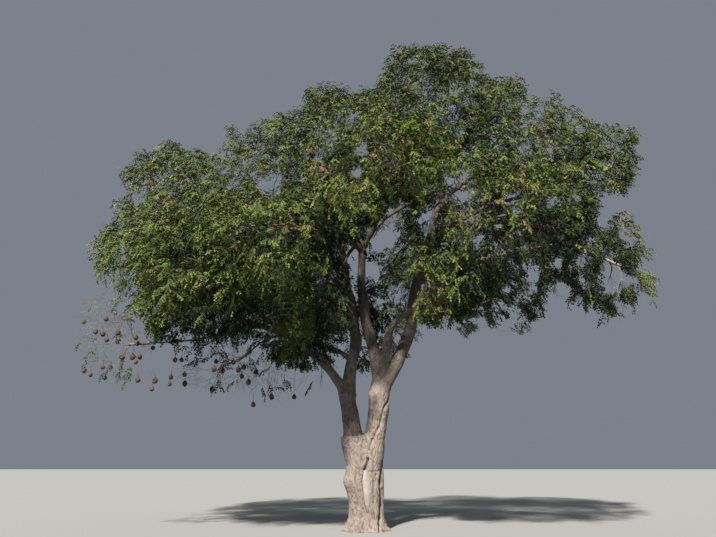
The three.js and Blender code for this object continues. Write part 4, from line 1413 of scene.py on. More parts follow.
def grow_twigs(name, seed):
    """A mass's twigs: first those of the solids, then many finer ones by the same rule."""
    draw = seeded(seed)
    chance = np.random.default_rng(seed)
    space = spaces[name]
    limb_name = carriers[name]
    limb = limbs[limb_name][0]
    heading = limb.heading(1.0)
    root = limb.at(1.0) + heading * SEAM
    knee = root + heading * space.mean * STEM_SHARE
    stem = Twig(np.array([root, knee, knee + (space.centre - knee) * STEM_REACH]))
    twigs, buds = [stem], Buds()
    buds.add(stem, BUD_SPACING)
    places = first_places(space, root, draw)
    for place in sorted(places, key=lambda place: np.linalg.norm(place - root)):
        join(place, buds, twigs, BUD_ROOM, limb_name=limb_name)
    for twig in twigs:
        up = twig
        while up:
            up.tips += 1
            up = up.parent
    for twig in twigs[1:]:
        foot, heading = twig.parent.line.at(twig.along), twig.parent.line.heading(twig.along)
        lift = COARSE_ARCH * chance.uniform(*COARSE_ARCHES)
        twig.line = Line(arched(foot, twig.line.points[-1], heading, lift))
    buds = Buds()
    for twig in twigs:
        buds.add(twig, FINE_SPACING)
    count = BARE_PLACES if name in BARE_MASSES else FINE_PLACES
    outward = FINE_REACH[0] + (FINE_REACH[1] - FINE_REACH[0]) * chance.random(count) ** FINE_CROWDING
    places = spiral(count, outward, space)
    places = places[space.holds(places)]
    if name not in BARE_MASSES:
        places = places[~hidden_from_view(places)]
    for place in sorted(places, key=lambda place: np.linalg.norm(place - root)):
        join(place, buds, twigs, FINE_ROOM, chance, limb_name)
    return twigs


mass_twigs = {name: grow_twigs(name, FIRST_SEED + i * SEED_STEP) for i, name in enumerate(carriers)}
print("twigs:", sum(len(twigs) for twigs in mass_twigs.values()))

# %% [markdown]
# ### Twigs between the masses
#
# The limbs carry leafy twigs of their own on their way up, and a few tufts stand out of the crown's edge.
# Each clump below is a small ellipsoid. Places spread through it join the nearest buds, on the limbs
# themselves or on the twigs of any mass near by.

# %% The clumps' places
CLUMPS = {
    # middle in x and z on the trunk's plane, real depth, half sizes, number of places
    "before_centre": (-0.55, 7.8, -2.2, (0.9, 0.6, 0.7), 90),
    "before_centre_right": (0.75, 8.0, -2.2, (0.8, 0.6, 0.6), 70),
    "top_right_crest": (2.6, 12.3, -0.6, (0.6, 0.5, 0.4), 64),
    "upper_right_tip": (7.0, 9.95, -0.2, (0.5, 0.5, 0.35), 60),
    "left_shoulder_edge": (-4.9, 9.75, -0.2, (0.7, 0.6, 0.3), 34),
    "left_side_edge": (-6.6, 7.9, -0.2, (0.3, 0.5, 0.4), 24),
    "left_of_centre_stem": (-0.50, 6.83, -0.6, (0.9, 1.0, 1.1), 80),
    "over_left_leader": (-0.94, 7.81, -0.1, (0.9, 1.1, 0.8), 70),
    "behind_centre_fork": (0.73, 7.81, 0.8, (0.9, 0.9, 0.6), 60),
    "behind_gap": (0.96, 6.45, 1.3, (0.7, 0.8, 0.9), 50),
    "behind_stems": (0.45, 5.45, 0.9, (0.75, 0.6, 0.6), 80),
    "behind_low_fork": (0.75, 4.6, 0.9, (0.5, 0.5, 0.45), 46),
    "hanging_between_stems": (-0.1, 4.1, 0.5, (0.3, 0.4, 0.5), 30),
    "before_left_low": (-2.3, 5.2, -1.7, (0.9, 0.4, 0.7), 90),
    "before_left_low_foot": (-1.35, 4.5, -1.3, (0.6, 0.4, 0.5), 60),
    "before_upper_leader": (1.6, 8.3, -1.4, (0.55, 0.5, 0.9), 60),
    "before_leader": (1.5, 7.0, -1.3, (0.5, 0.4, 0.6), 40),
    "before_right_stem": (0.95, 5.3, -1.0, (0.45, 0.4, 0.4), 30),
    "before_right_leader": (2.03, 6.77, -0.9, (0.9, 0.8, 0.75), 70),
    "behind_right_leader": (1.8, 7.9, 0.9, (0.9, 0.8, 0.8), 76),
    "between_stems": (-0.31, 4.99, 0.5, (0.6, 0.9, 0.8), 50),
    "low_left_of_stems": (-1.15, 4.34, 0.1, (0.7, 0.9, 0.6), 60),
    "right_of_leader": (1.35, 4.44, -0.3, (0.28, 0.4, 0.45), 20),
    "bare_left_of_stems": (-1.2, 3.6, 0, (0.75, 0.7, 0.35), 40),
    "bare_left_edge": (-6.7, 5.2, -0.3, (0.5, 0.6, 0.35), 40),
    "upper_left_notch": (-1.69, 8.43, -0.3, (0.8, 1.0, 0.7), 56),
    "left_notch": (-3.7, 8.7, -0.3, (0.5, 0.7, 0.5), 40),
    "upper_left_edge": (-2.2, 10.35, -0.1, (0.7, 0.8, 0.45), 56),
    "upper_left_bump": (-1.1, 11.25, -0.3, (0.8, 0.7, 0.45), 90),
    "left_of_top": (0.0, 11.2, -0.5, (0.6, 0.6, 0.4), 50),
    "under_right_tip": (6.6, 5.9, 0.0, (0.5, 0.6, 0.5), 40),
    "between_openings": (0.7, 6.35, -0.8, (0.4, 0.3, 0.22), 40),
    "over_nest_bough": (-4.45, 4.5, -1.2, (0.85, 0.35, 0.35), 80),
    "beside_top": (0.75, 12.14, -0.4, (0.4, 0.6, 0.4), 26),
    "crest": (1.5, 12.6, -1.0, (0.7, 0.5, 0.35), 60),
    "right_of_top": (3.43, 11.58, -0.2, (0.45, 0.6, 0.35), 20),
    "right_shoulder_bump": (4.2, 11.6, -0.3, (0.5, 0.6, 0.35), 34),
    "upper_right_edge": (6.0, 10.4, 0, (0.6, 0.8, 0.4), 40),
    "upper_right_corner": (7.12, 9.82, 0, (0.5, 0.8, 0.45), 26),
    "left_corner": (-6.0, 9.3, 0, (0.7, 0.8, 0.45), 44),
    "left_edge": (-6.69, 7.26, 0, (0.4, 0.8, 0.8), 30),
    "far_left_edge": (-6.87, 6.45, 0, (0.3, 0.6, 0.5), 16),
    "hanging_right": (5.83, 4.89, 0, (0.4, 0.6, 0.3), 14),
    "far_right_low": (6.15, 5.7, 0.4, (0.4, 0.6, 0.4), 24),
    "shades_left_stem": (-0.95, 5.5, -2.2, (0.55, 0.4, 0.6), 50),
    "shades_fork": (-0.6, 9.1, -3.5, (0.8, 0.5, 0.8), 110),
    "shades_centre_stem": (-0.55, 7.6, -1.9, (0.5, 0.4, 0.8), 70),
    "far_right_under": (5.6, 5.2, 0.1, (0.9, 0.7, 0.4), 60),
    "bare_fringe": (-2.2, 3.5, 0.0, (0.6, 0.6, 0.45), 46),
}
print("clumps:", len(CLUMPS))

# %% Grow the clumps
NEIGHBOUR = 2.4  # metres round a clump from which its twigs may start
FIRST_LIMB_BUD = 0.22  # the first place on a limb, as a share of its length, where a twig may start
CLUMP_CROWDING = 0.45
CLUMP_SEED = 700


def at_depth(x, z, depth):
    """The place at a real depth that the viewer sees at x and z on the trunk's plane."""
    share = (depth - EYE[1]) / -EYE[1]
    return np.array([EYE[0] + (x - EYE[0]) * share, depth, EYE[2] + (z - EYE[2]) * share])


def grow_clump(x, z, depth, half, count, seed, bare):
    """Twigs to places spread through one clump, from the nearest limbs and coarse twigs."""
    chance = np.random.default_rng(seed)
    centre = at_depth(x, z, depth)
    buds, twigs = Buds(), []
    for name in limbs:
        if not name.startswith("trunk"):
            buds.add(Twig(drawn[name][0], limb=name), BUD_SPACING, FIRST_LIMB_BUD)
    for others in mass_twigs.values():
        for twig in others:
            if np.linalg.norm(twig.line.points[-1] - centre) < NEIGHBOUR and not twig.fine:
                buds.add(twig, BUD_SPACING)
    keep = np.flatnonzero(np.linalg.norm(buds.places - centre, axis=1) < NEIGHBOUR)
    buds.places, buds.ways = buds.places[keep], buds.ways[keep]
    buds.owners, buds.along = [buds.owners[i] for i in keep], [buds.along[i] for i in keep]
    out = unit(chance.normal(size=(count, 3))) * chance.random((count, 1)) ** CLUMP_CROWDING
    places = centre + out * np.array(half)
    places = places[~outside_box(places)]
    if not bare:
        places = places[~hidden_from_view(places)]
    root = buds.places[buds.best(centre)]
    for place in sorted(places, key=lambda place: np.linalg.norm(place - root)):
        join(place, buds, twigs, FINE_ROOM, chance)
    return twigs


def is_bare(name):
    return name in BARE_MASSES or name.startswith("bare")


clump_twigs = {
    name: grow_clump(*clump, CLUMP_SEED + i, is_bare(name)) for i, (name, clump) in enumerate(CLUMPS.items())
}
print("twigs in clumps:", sum(len(twigs) for twigs in clump_twigs.values()))

# %% [markdown]
# ### Twigs that close the gaps
#
# Seen from the side, the masses would stand apart like balls. A living crown closes such gaps, because a gap
# is where the light gets in. So places on a shaken grid are tried, and those that lie just outside two
# masses at once get a twig each, the nearest to a bud first.

# %% Fill between the masses
FILL_STEP = 0.56
FILL_SHAKE = 0.2
FILL_REACH = 1.5  # how far from two masses' middles a place may be, as a share of their half sizes
FILL_INSIDE = 0.92
FILL_WAY = 1.3
FILL_ABOVE = 4.5  # metres over the lowest point: no leaves hang lower between the limbs
FILL_SEED = 900


def fill_places(chance):
    """Places on a shaken grid that lie just outside two leafy masses."""
    low, high = np.array(cad_box)
    steps = [np.arange(a, b, FILL_STEP) for a, b in zip(low + (0, 0, FILL_ABOVE), high)]
    places = np.stack(np.meshgrid(*steps, indexing="ij"), axis=-1).reshape(-1, 3)
    places = places + chance.uniform(-FILL_SHAKE, FILL_SHAKE, places.shape)
    leafy = [space for name, space in spaces.items() if name not in BARE_MASSES]
    reach = np.array([np.linalg.norm((places - space.centre) / space.half, axis=1) for space in leafy])
    reach.sort(0)
    places = places[(reach[0] > FILL_INSIDE) & (reach[1] < FILL_REACH)]
    places = places[~hidden_from_view(places) & ~outside_box(places)]
    return places[clearance(places) > FILL_SHAKE]


def grow_fill(seed):
    chance = np.random.default_rng(seed)
    buds, twigs = Buds(), []
    for name in BOUGHS:
        buds.add(Twig(drawn[name][0], limb=name), BUD_SPACING, FIRST_LIMB_BUD)
    for others in mass_twigs.values():
        for twig in others:
            if not twig.fine:
                buds.add(twig, BUD_SPACING)
    places = fill_places(chance)
    away = np.array([np.linalg.norm(buds.places - place, axis=1).min() for place in places])
    for place in places[away.argsort()]:
        if np.linalg.norm(buds.places - place, axis=1).min() < FILL_WAY:
            join(place, buds, twigs, FINE_ROOM, chance)
    return twigs


clump_twigs["fill"] = grow_fill(FILL_SEED)
print("twigs between the masses:", len(clump_twigs["fill"]))

# %% [markdown]
# ### Shoots
#
# Leaves don't sit on the twigs themselves. They line thin shoots, a quarter to half a metre long, that leave
# the twigs on all sides, rise a little and then bow down under their leaves. That is what gives the crown
# its feathery, hanging look. All shoots are worked out together as arrays, which is hundreds of times faster
# than one by one.

# %% Grow the shoots
SHOOT_SPACING = 0.078
SHOOT_LENGTH = (0.22, 0.46)
SHOOT_SAG = (0.12, 0.65)
SHOOT_POINTS = 5
FIRST_SHOOT = 0.2  # where the first shoot stands on a fine twig, as a share of its length
FIRST_ON_COARSE = 0.5
FULL_TURN = 6.28
# how much of a shoot's heading comes from its twig, from the side it stands on, from the middle and from up
ALONG_TWIG = 0.55
ASIDE = 0.85
LESS_ASIDE_AT_TIP = 0.75
OUTWARD = 0.35
RISE = 0.12
UNEVEN = 0.14
WALL_SLACK = 0.14
SHORTER = 0.6
CLEAR_OF_LIMB = 0.04
BALD_SCALE = 0.95
BALD_SHIFT = 63.0
BALD_LEVEL = -0.25  # noise below this leaves a bald patch without shoots
LOOSE_BALD_LEVEL = -0.45
SHOOT_SEED = 1000
CLUMP_SHOOT_SEED = 1500
THINNING_SEED = 1600


def shoots_of(twigs, space, seed):
    """The shoots of some twigs as curved lines (shoots, points, 3)."""
    chance = np.random.default_rng(seed)
    feet, headings, turns, ends = [], [], [], []
    for twig in twigs:
        count = max(1, int(twig.line.length * (1 - FIRST_SHOOT) / SHOOT_SPACING))
        along = np.linspace(FIRST_SHOOT if twig.fine else FIRST_ON_COARSE, 1, count)
        feet.append(twig.line.at(along))
        headings.append(twig.line.heading(along))
        turns.append(chance.uniform(0, FULL_TURN) + GOLDEN_ANGLE * np.arange(count))
        ends.append(np.arange(count) == count - 1)
    feet, headings = np.vstack(feet), np.vstack(headings)
    turns, ends = np.concatenate(turns)[:, None], np.concatenate(ends)[:, None]
    centre = space.centre if space else feet.mean(0)
    side = unit(np.cross(headings, (0.02, 0.03, 1)))
    over = np.cross(side, headings)
    radial = side * np.cos(turns) + over * np.sin(turns)
    leave = headings * ALONG_TWIG + radial * (ASIDE - LESS_ASIDE_AT_TIP * ends)
    leave = leave + unit(feet - centre) * OUTWARD + np.array([0, 0, RISE])
    leave = unit(leave + chance.normal(0, UNEVEN, leave.shape))
    length = chance.uniform(*SHOOT_LENGTH, len(feet))
    sag = chance.uniform(*SHOOT_SAG, len(feet))
    t = np.linspace(0, 1, SHOOT_POINTS)[None, :, None]

    def curve(length):
        down = np.array([0, 0, -1.0]) * (sag * length)[:, None, None] * t**2
        return feet[:, None] + leave[:, None] * t * length[:, None, None] + down

    lines = curve(length)
    if space:
        fits = space.holds(lines[:, -1], WALL_SLACK)
        lines = np.where(fits[:, None, None], lines, curve(length * SHORTER))
    middle, tip = lines[:, SHOOT_POINTS // 2], lines[:, -1]
    fits = (clearance(middle) > CLEAR_OF_LIMB) & (clearance(tip) > CLEAR_OF_LIMB) & ~outside_box(tip)
    if space:
        fits &= space.holds(tip, WALL_SLACK) & space.holds(middle, WALL_SLACK)
    fits &= smooth_noise(middle, BALD_SCALE, BALD_SHIFT) > (BALD_LEVEL if space else LOOSE_BALD_LEVEL)
    return lines[fits]


shoots = {
    name: shoots_of(twigs, spaces[name], SHOOT_SEED + i) for i, (name, twigs) in enumerate(mass_twigs.items())
}
clump_shoots = {
    name: shoots_of(twigs, None, CLUMP_SHOOT_SEED + i) for i, (name, twigs) in enumerate(clump_twigs.items())
}
print("shoots tried:", sum(len(lines) for group in (shoots, clump_shoots) for lines in group.values()))

# %% Leave out shoots that the viewer would see in the sky
chance = np.random.default_rng(THINNING_SEED)
for group in (shoots, clump_shoots):
    for name, lines in group.items():
        middle = lines[:, SHOOT_POINTS // 2]
        if not is_bare(name):
            group[name] = lines[~hidden_from_view(middle) & thinned(middle, chance)]
for name in [name for name, lines in clump_shoots.items() if not len(lines)]:
    del clump_shoots[name], clump_twigs[name]
print("shoots:", sum(len(lines) for group in (shoots, clump_shoots) for lines in group.values()))

# %% [markdown]
# ### Draw the branchlets
#
# Tens of thousands of thin tubes are made in one go: rings of corners round every point of every line, and
# faces that repeat the same pattern. Each tube runs to a point at its tip and is closed at its foot.


# %% Tubes from arrays
def tubes(lines, radii, sides):
    """Corners and triangles of closed tubes, one along each line, that end in a point."""
    count, points = lines.shape[:2]
    heading = unit(np.gradient(lines, axis=1))
    chord = unit(lines[:, -1] - lines[:, 0])
    reference = np.where(np.abs(chord[:, 2:]) > 0.9, [[1.0, 0, 0]], [[0, 0, 1.0]])[:, None, :]
    across = unit(np.cross(heading, reference))
    up = np.cross(across, heading)
    angle = np.arange(sides) * 2 * math.pi / sides
    circle = across[:, :-1, None] * np.cos(angle)[:, None] + up[:, :-1, None] * np.sin(angle)[:, None]
    rings = lines[:, :-1, None] + circle * radii[:, :-1, None, None]
    corners = np.concatenate([rings.reshape(count, -1, 3), lines[:, -1:]], axis=1)
    faces = []
    for ring in range(points - 2):
        for side in range(sides):
            a, b = ring * sides + side, ring * sides + (side + 1) % sides
            faces += [(a, a + sides, b), (b, a + sides, b + sides)]
    last = (points - 2) * sides
    tip = (points - 1) * sides
    faces += [(last + side, tip, last + (side + 1) % sides) for side in range(sides)]
    faces += [(0, side, side + 1) for side in range(1, sides - 1)]
    start = np.arange(count)[:, None, None] * (tip + 1)
    return corners.reshape(-1, 3), (np.array(faces)[None] + start).reshape(-1, 3)


tube_corners, tube_faces = tubes(np.array([[(0, 0, 0), (0, 0, 1), (0, 0, 2)]], float), np.ones((1, 3)), 3)
print("a tube of 3 sides over 3 points:", len(tube_faces), "triangles")

# %% Meshes from arrays


def mesh_object(name, corners, faces, slots=None):
    """An object from arrays of corners and triangles, with a material number for each triangle."""
    data = bpy.data.meshes.new(name)
    data.vertices.add(len(corners))
    data.vertices.foreach_set("co", np.ascontiguousarray(corners, np.float32).ravel())
    data.loops.add(len(faces) * 3)
    data.loops.foreach_set("vertex_index", np.ascontiguousarray(faces, np.int32).ravel())
    data.polygons.add(len(faces))
    data.polygons.foreach_set("loop_start", np.arange(0, len(faces) * 3, 3, dtype=np.int32))
    if slots is not None:
        data.polygons.foreach_set("material_index", np.ascontiguousarray(slots, np.int32))
    data.update(calc_edges=True)
    obj = bpy.data.objects.new(name, data)
    bpy.context.collection.objects.link(obj)
    return obj


def stacked(parts):
    """Several meshes given as (corners, faces) as one."""
    starts = np.cumsum([0] + [len(corners) for corners, _ in parts])
    faces = [faces + start for (_, faces), start in zip(parts, starts)]
    return np.vstack([corners for corners, _ in parts]), np.vstack(faces)


print("two such tubes:", len(stacked([(tube_corners, tube_faces)] * 2)[1]), "triangles")

# %% Draw the twigs and shoots
STEM_SIDES = 6
TWIG_SIDES = 3
SHOOT_SIDES = 3
SHOOT_RADIUS = 0.0035
SHOOT_TAPER = 0.5
SINK = 0.05  # a stem starts this far down in its bough
BARE_THINNER = 0.95


def branchlets_of(twigs, lines, thin=1.0):
    """One mesh of a mass's twigs and shoots. A shoot is drawn with every second of its points."""
    parts = []
    for fine, sides in ((False, STEM_SIDES), (True, TWIG_SIDES)):
        same = [twig for twig in twigs if twig.fine == fine]
        if same:
            along = np.linspace(0, 1, TWIG_POINTS)
            twig_lines = np.array([twig.line.at(along) for twig in same])
            radii = np.array([twig.radius(along, thin) for twig in same])
            if not fine:
                twig_lines[0, 0] += unit(twig_lines[0, 0] - twig_lines[0, 1]) * SINK
            parts.append(tubes(twig_lines, radii, sides))
    lines = lines[:, ::2]
    taper = np.linspace(1, SHOOT_TAPER, lines.shape[1])
    radii = np.broadcast_to(SHOOT_RADIUS * thin * taper, lines.shape[:2])
    parts.append(tubes(lines, radii, SHOOT_SIDES))
    return stacked(parts)


def branchlet_material():
    material, shader, maker = new_material("branchlet_bark", 0.9)
    coordinates = maker.node("TexCoord", {}, {}, "Object")
    patches = noise_texture(maker, coordinates, 2.5, 4.0, 0.6)
    stops = [(0.36, linear(84, 70, 58)), (0.5, linear(128, 112, 96)), (0.64, linear(158, 143, 124))]
    feed(shader, "Base Color", coloured(maker, patches, stops))
    feed(shader, "Normal", bumped(maker, noise_texture(maker, coordinates, 90.0, 2.0), 0.4, 0.003))
    return material


twig_bark = branchlet_material()


def branchlet_piece(group, meshes, replaced=()):
    piece = mesh_object("branchlets_" + group, *stacked(meshes))
    piece.data.materials.append(twig_bark)
    if replaced:
        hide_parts(*replaced)
    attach(piece, "root")
    print(piece.name, "triangles:", len(piece.data.polygons))


def side_of(name):
    return next((side for side in ("back", "left", "right") if side in name), "middle")


for group in ("left", "right", "middle", "back"):
    names = [name for name in mass_twigs if name not in BARE_MASSES and side_of(name) == group]
    branchlet_piece(group, [branchlets_of(mass_twigs[name], shoots[name]) for name in names])
nest_names = [name for name in mass_twigs if name in BARE_MASSES]
bare = [branchlets_of(mass_twigs[name], shoots[name], BARE_THINNER) for name in nest_names]
branchlet_piece("nest", bare, BARE_MASSES)
between = [branchlets_of(clump_twigs[name], clump_shoots[name]) for name in clump_twigs]
branchlet_piece("between", between)

# %% [markdown]
# ## Leaves
#
# A tamarind's leaf is a feather: a thin rib, a finger long, with ten or more pairs of small blunt leaflets
# and no odd one at its end. At this distance a pair of leaflets is less than a pixel, so here each leaf
# keeps its outline and the gaps along its edges with two pairs. About two hundred thousand such leaves line
# the shoots on both sides.

# %% One leaf, modelled once
LEAF_PAIRS = 2
LEAF_HALF_WIDTHS = (0.2, 0.19)
LEAF_CURL = 0.18
LEAF_CUP = 0.05
LEAF_STALK = 0.06
LEAFLET_SWEEP = 0.9  # how far forward a leaflet's tip lies, as a share of its stretch of rib


def leaf_pattern():
    """Corners and triangles of a leaf of length 1 along x: a bent rib with leaflets to both sides."""
    rib = np.linspace(LEAF_STALK, 1.0, LEAF_PAIRS + 1)
    corners = [(x, 0, -LEAF_CURL * x**2) for x in rib]
    faces = []
    for i, half in enumerate(LEAF_HALF_WIDTHS):
        reach = rib[i] + (rib[i + 1] - rib[i]) * LEAFLET_SWEEP
        for sign in (1, -1):
            corners.append((reach, sign * half, -LEAF_CURL * reach**2 - LEAF_CUP))
            last = len(corners) - 1
            faces.append((i, last, i + 1) if sign < 0 else (i, i + 1, last))
    return np.array(corners), np.array(faces)


LEAF_CORNERS, LEAF_FACES = leaf_pattern()
print("one leaf:", len(LEAF_FACES), "triangles")

# %% [markdown]
# ### Dealing out the leaves
#
# Leaves alternate along a shoot. Each turns out to its side and hangs a little, and no two are quite alike.
# Colours are plain and dealt out by shoot, because a spray is new, grown or old as a whole: that makes the
# soft blotches of yellower and deeper green that a crown shows from afar. Shaded shoots get darker tones and
# sunlit ones lighter, yellower tones: that part is painted shade and painted light.

# %% Find the shoots in shade
CROWD_CELL = 0.4
CROWD_SPREAD = 2
CROWD_ROOM = 8  # empty cells round the grid
SHADE_SHARE = 0.4  # share of the shoots that count as shaded
DEEP_SHARE = 0.2
# The shade here is painted: it only picks darker leaf colours, and this table paints more or less of it by
# place.
SHADE_PLACES = [
    # middle in x and z on the trunk's plane, half sizes, and how much more or less shade falls there
    (-0.3, 5.2, 0.9, 2.1, 4.0), (5.4, 6.4, 1.8, 2.0, 4.0), (3.5, 6.1, 1.1, 1.4, 3.0),
    (1.55, 6.1, 0.6, 1.2, 0.3), (-4.8, 5.85, 0.9, 0.8, 0.4), (-1.85, 4.7, 0.6, 0.5, 0.4),
    (1.6, 8.7, 0.5, 0.5, 0.4), (-2.2, 7.2, 1.3, 0.6, 1.6), (6.3, 9.0, 1.3, 1.1, 2.0),
    (3.4, 7.8, 0.6, 0.6, 3.0), (1.5, 7.9, 0.5, 0.5, 2.0), (-3.9, 4.8, 1.1, 0.7, 3.0),
    (-0.4, 7.0, 0.7, 0.9, 2.0), (-1.7, 8.2, 0.6, 0.6, 1.8), (3.2, 5.4, 0.8, 0.6, 2.0),
    (6.5, 7.0, 0.8, 1.0, 1.6), (-0.9, 4.3, 0.9, 0.6, 1.6),
]
LOOKS = [(0, 0, 0), (-0.2, -0.5, 0.8), (-0.4, -1.0, 1.6)]  # where foliage that shades a shoot may stand


def crowding(places, looks):
    """How many shoots are near each place: counts in a grid of cells, each spread to its neighbours."""
    cell = np.floor((places - places.min(0)) / CROWD_CELL).astype(int) + CROWD_ROOM
    grid = np.zeros(cell.max(0) + 2 * CROWD_ROOM)
    np.add.at(grid, tuple(cell.T), 1)
    for axis in (0, 1, 2) * CROWD_SPREAD:
        grid = (np.roll(grid, 1, axis) + grid + np.roll(grid, -1, axis)) / 3
    steps = [np.round(np.array(look) / CROWD_CELL).astype(int) for look in looks]
    return sum(grid[tuple((cell + step).T)] for step in steps)


print("looks round each shoot:", len(LOOKS), "in cells of", CROWD_CELL, "m")

# %% Tell shaded shoots from sunlit ones
groups = {**shoots, **clump_shoots}
middles = np.vstack([lines[:, SHOOT_POINTS // 2] for lines in groups.values()])
crowds = crowding(middles, LOOKS)
x, z = seen_on_plane(middles)
for middle_x, middle_z, half_x, half_z, more in SHADE_PLACES:
    depth = np.clip(1 - ((x - middle_x) / half_x) ** 2 - ((z - middle_z) / half_z) ** 2, 0, 1)
    crowds *= 1 + (more - 1) * depth**0.5
# painted shade: these classes pick the leaves' colours below
shade = np.digitize(crowds, np.quantile(crowds, [1 - SHADE_SHARE, 1 - DEEP_SHARE]))
starts = np.cumsum([0] + [len(lines) for lines in groups.values()])
shades = {name: shade[start : start + len(groups[name])] for name, start in zip(groups, starts)}
print("shaded shoots:", (shade > 0).sum(), "deep:", (shade > 1).sum())

# %% The leaves' sizes and tones
LEAF_SPACING = 0.033
LEAF_LENGTH = (0.084, 0.132)
SHADED_LARGER = 1.2
# darker tones for shaded shoots and lighter ones for sunlit shoots are painted shade and painted light
LEAF_TONES = {
    # colour, and the share of the sunlit, the shaded and the deeply shaded shoots
    "painted_deep_shade_leaf": (linear(25, 32, 19), 0.0, 0.08, 0.45),
    "painted_shade_leaf": (linear(38, 49, 20), 0.03, 0.37, 0.35),
    "deep_leaf": (linear(56, 71, 27), 0.17, 0.33, 0.15),
    "grown_leaf": (linear(75, 92, 36), 0.32, 0.18, 0.05),
    "fresh_leaf": (linear(92, 108, 44), 0.22, 0.04, 0.0),
    "olive_leaf": (linear(104, 104, 50), 0.15, 0.0, 0.0),
    "yellow_leaf": (linear(120, 122, 60), 0.07, 0.0, 0.0),
    "dry_leaf": (linear(116, 94, 58), 0.04, 0.0, 0.0),
}
BARE_LEAVES = 0.06  # share of the shoots that still have leaves where the tree is almost bare
LEAST_LEAVES = 4
FIRST_LEAF = 0.1
HEADING_STEP = 0.08
END_LEAF = 0.15  # the leaf at a shoot's end points almost straight on
# how much of a leaf's heading comes from its shoot, from its side and from its weight
LEAF_ALONG = 0.6
LEAF_ASIDE = 0.75
LEAF_DROOP = 0.4
LEAF_UNEVEN = 0.22
LEAF_TILT = 0.4
LEAF_MIDDLE = 0.6
LEAF_SHINE = 0.2
LEAF_SEED = 3000
CLUMP_LEAF_SEED = 3100
SEEDS_APART = 50
print("leaf tones:", len(LEAF_TONES))

# %% Place leaves along the shoots


def leaves_of(lines, shade, bare, seed):
    """Leaf frames along some shoots: feet, directions, sides and lengths, and a tone for each leaf."""
    chance = np.random.default_rng(seed)
    _, *shares = zip(*LEAF_TONES.values())
    tone_of = np.zeros(len(lines), int)
    for level, level_shares in enumerate(shares):
        same = shade == level
        tone_of[same] = chance.choice(len(LEAF_TONES), same.sum(), p=level_shares)
    if bare:
        stay = chance.random(len(lines)) < BARE_LEAVES
        lines, tone_of, shade = lines[stay], tone_of[stay], shade[stay]
    feet, headings, signs, tones, larger = [], [], [], [], []
    for line, tone, scale in zip(lines, tone_of, np.where(shade > 0, SHADED_LARGER, 1.0)):
        curve = Line(line)
        count = max(LEAST_LEAVES, round(curve.length / LEAF_SPACING))
        along = np.linspace(FIRST_LEAF, 1, count)
        feet.append(curve.at(along))
        headings.append(curve.heading(along, HEADING_STEP))
        sign = np.where(np.arange(count) % 2, 1.0, -1.0)
        sign[-1] = END_LEAF
        signs.append(sign)
        tones.append(np.full(count, tone))
        larger.append(np.full(count, scale))
    feet, headings = np.vstack(feet), np.vstack(headings)
    signs, tones = np.concatenate(signs)[:, None], np.concatenate(tones)
    side = unit(np.cross(headings, (0.01, 0.02, 1)))
    out = headings * LEAF_ALONG + side * signs * LEAF_ASIDE + np.array([0, 0, -LEAF_DROOP])
    out = unit(out + chance.normal(0, LEAF_UNEVEN, out.shape))
    over = unit(np.cross(np.cross(out, (0.02, 0.01, 1)), out) + chance.normal(0, LEAF_TILT, out.shape))
    across = unit(np.cross(over, out))
    over = np.cross(out, across)
    length = chance.uniform(*LEAF_LENGTH, len(feet)) * np.concatenate(larger)
    keep = ~outside_box(feet + out * length[:, None])
    if not bare:
        keep &= ~hidden_from_view(feet + out * length[:, None] * LEAF_MIDDLE)
    return feet[keep], out[keep], across[keep], over[keep], length[keep], tones[keep]


def leaf_mesh(feet, out, across, over, length, tones):
    basis = np.stack([out, across, over], axis=1) * length[:, None, None]
    corners = feet[:, None, :] + np.einsum("ci,nij->ncj", LEAF_CORNERS, basis)
    start = np.arange(len(feet))[:, None, None] * len(LEAF_CORNERS)
    faces = (LEAF_FACES[None] + start).reshape(-1, 3)
    return corners.reshape(-1, 3), faces, np.repeat(tones, len(LEAF_FACES))


sample_leaves = leaves_of(groups["top"][:1], shades["top"][:1], False, LEAF_SEED)
print("leaves on one shoot:", len(sample_leaves[0]))

# %% Fill the crown with leaves
leaf_materials = []
for tone, (color, *_) in LEAF_TONES.items():
    material, shader, _ = new_material(tone, 0.7)
    shader.inputs["Base Color"].default_value = color
    shader.inputs["Specular IOR Level"].default_value = LEAF_SHINE
    leaf_materials.append(material)


def foliage_piece(name, grown, seed):
    """One piece with the leaves of the masses or clumps named."""
    meshes = []
    for i, part in enumerate(grown):
        leaves = leaves_of(groups[part], shades[part], is_bare(part), seed + i)
        meshes.append(leaf_mesh(*leaves))
    corners, faces = stacked([mesh[:2] for mesh in meshes])
    foliage = mesh_object(name, corners, faces, np.concatenate([mesh[2] for mesh in meshes]))
    for material in leaf_materials:
        foliage.data.materials.append(material)
    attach(foliage, "root")
    return foliage


leaf_total = 0
for i, name in enumerate(mass_twigs):
    slot = "foliage_shade" if name.startswith("back") else "foliage"
    piece = foliage_piece("leaves_" + name, [name], LEAF_SEED + i)
    if name not in BARE_MASSES:
        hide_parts(name)
    leaf_total += len(piece.data.polygons)
tufts = [name for name in clump_shoots if name != "fill"]
for i, part in enumerate((tufts[::2], tufts[1::2], ["fill"])):
    piece = foliage_piece(f"leaves_between_{i + 1}", part, CLUMP_LEAF_SEED + SEEDS_APART * i)
    leaf_total += len(piece.data.polygons)
    print(piece.name, "triangles:", len(piece.data.polygons))
print("leaf triangles:", leaf_total, "leaves:", leaf_total // len(LEAF_FACES))

# %% [markdown]
# ## Pods
#
# The pods are plump, curved and cinnamon-brown, a hand long, and hang in pairs from the shoots. One pod is a
# bent tube that swells over each seed, and hundreds are drawn at once with the same tube function.

# %% Hang the pods
POD_SHARE = 0.04
POD_LENGTH = (0.08, 0.135)
POD_RADIUS = 0.0125
POD_SWELLS = (0.5, 1.1, 0.85, 1.05, 0.0)
POD_SIDES = 4
POD_SCATTER = 0.02
POD_SWING = 0.35
POD_BEND = 0.5
POD_SEED = 4000


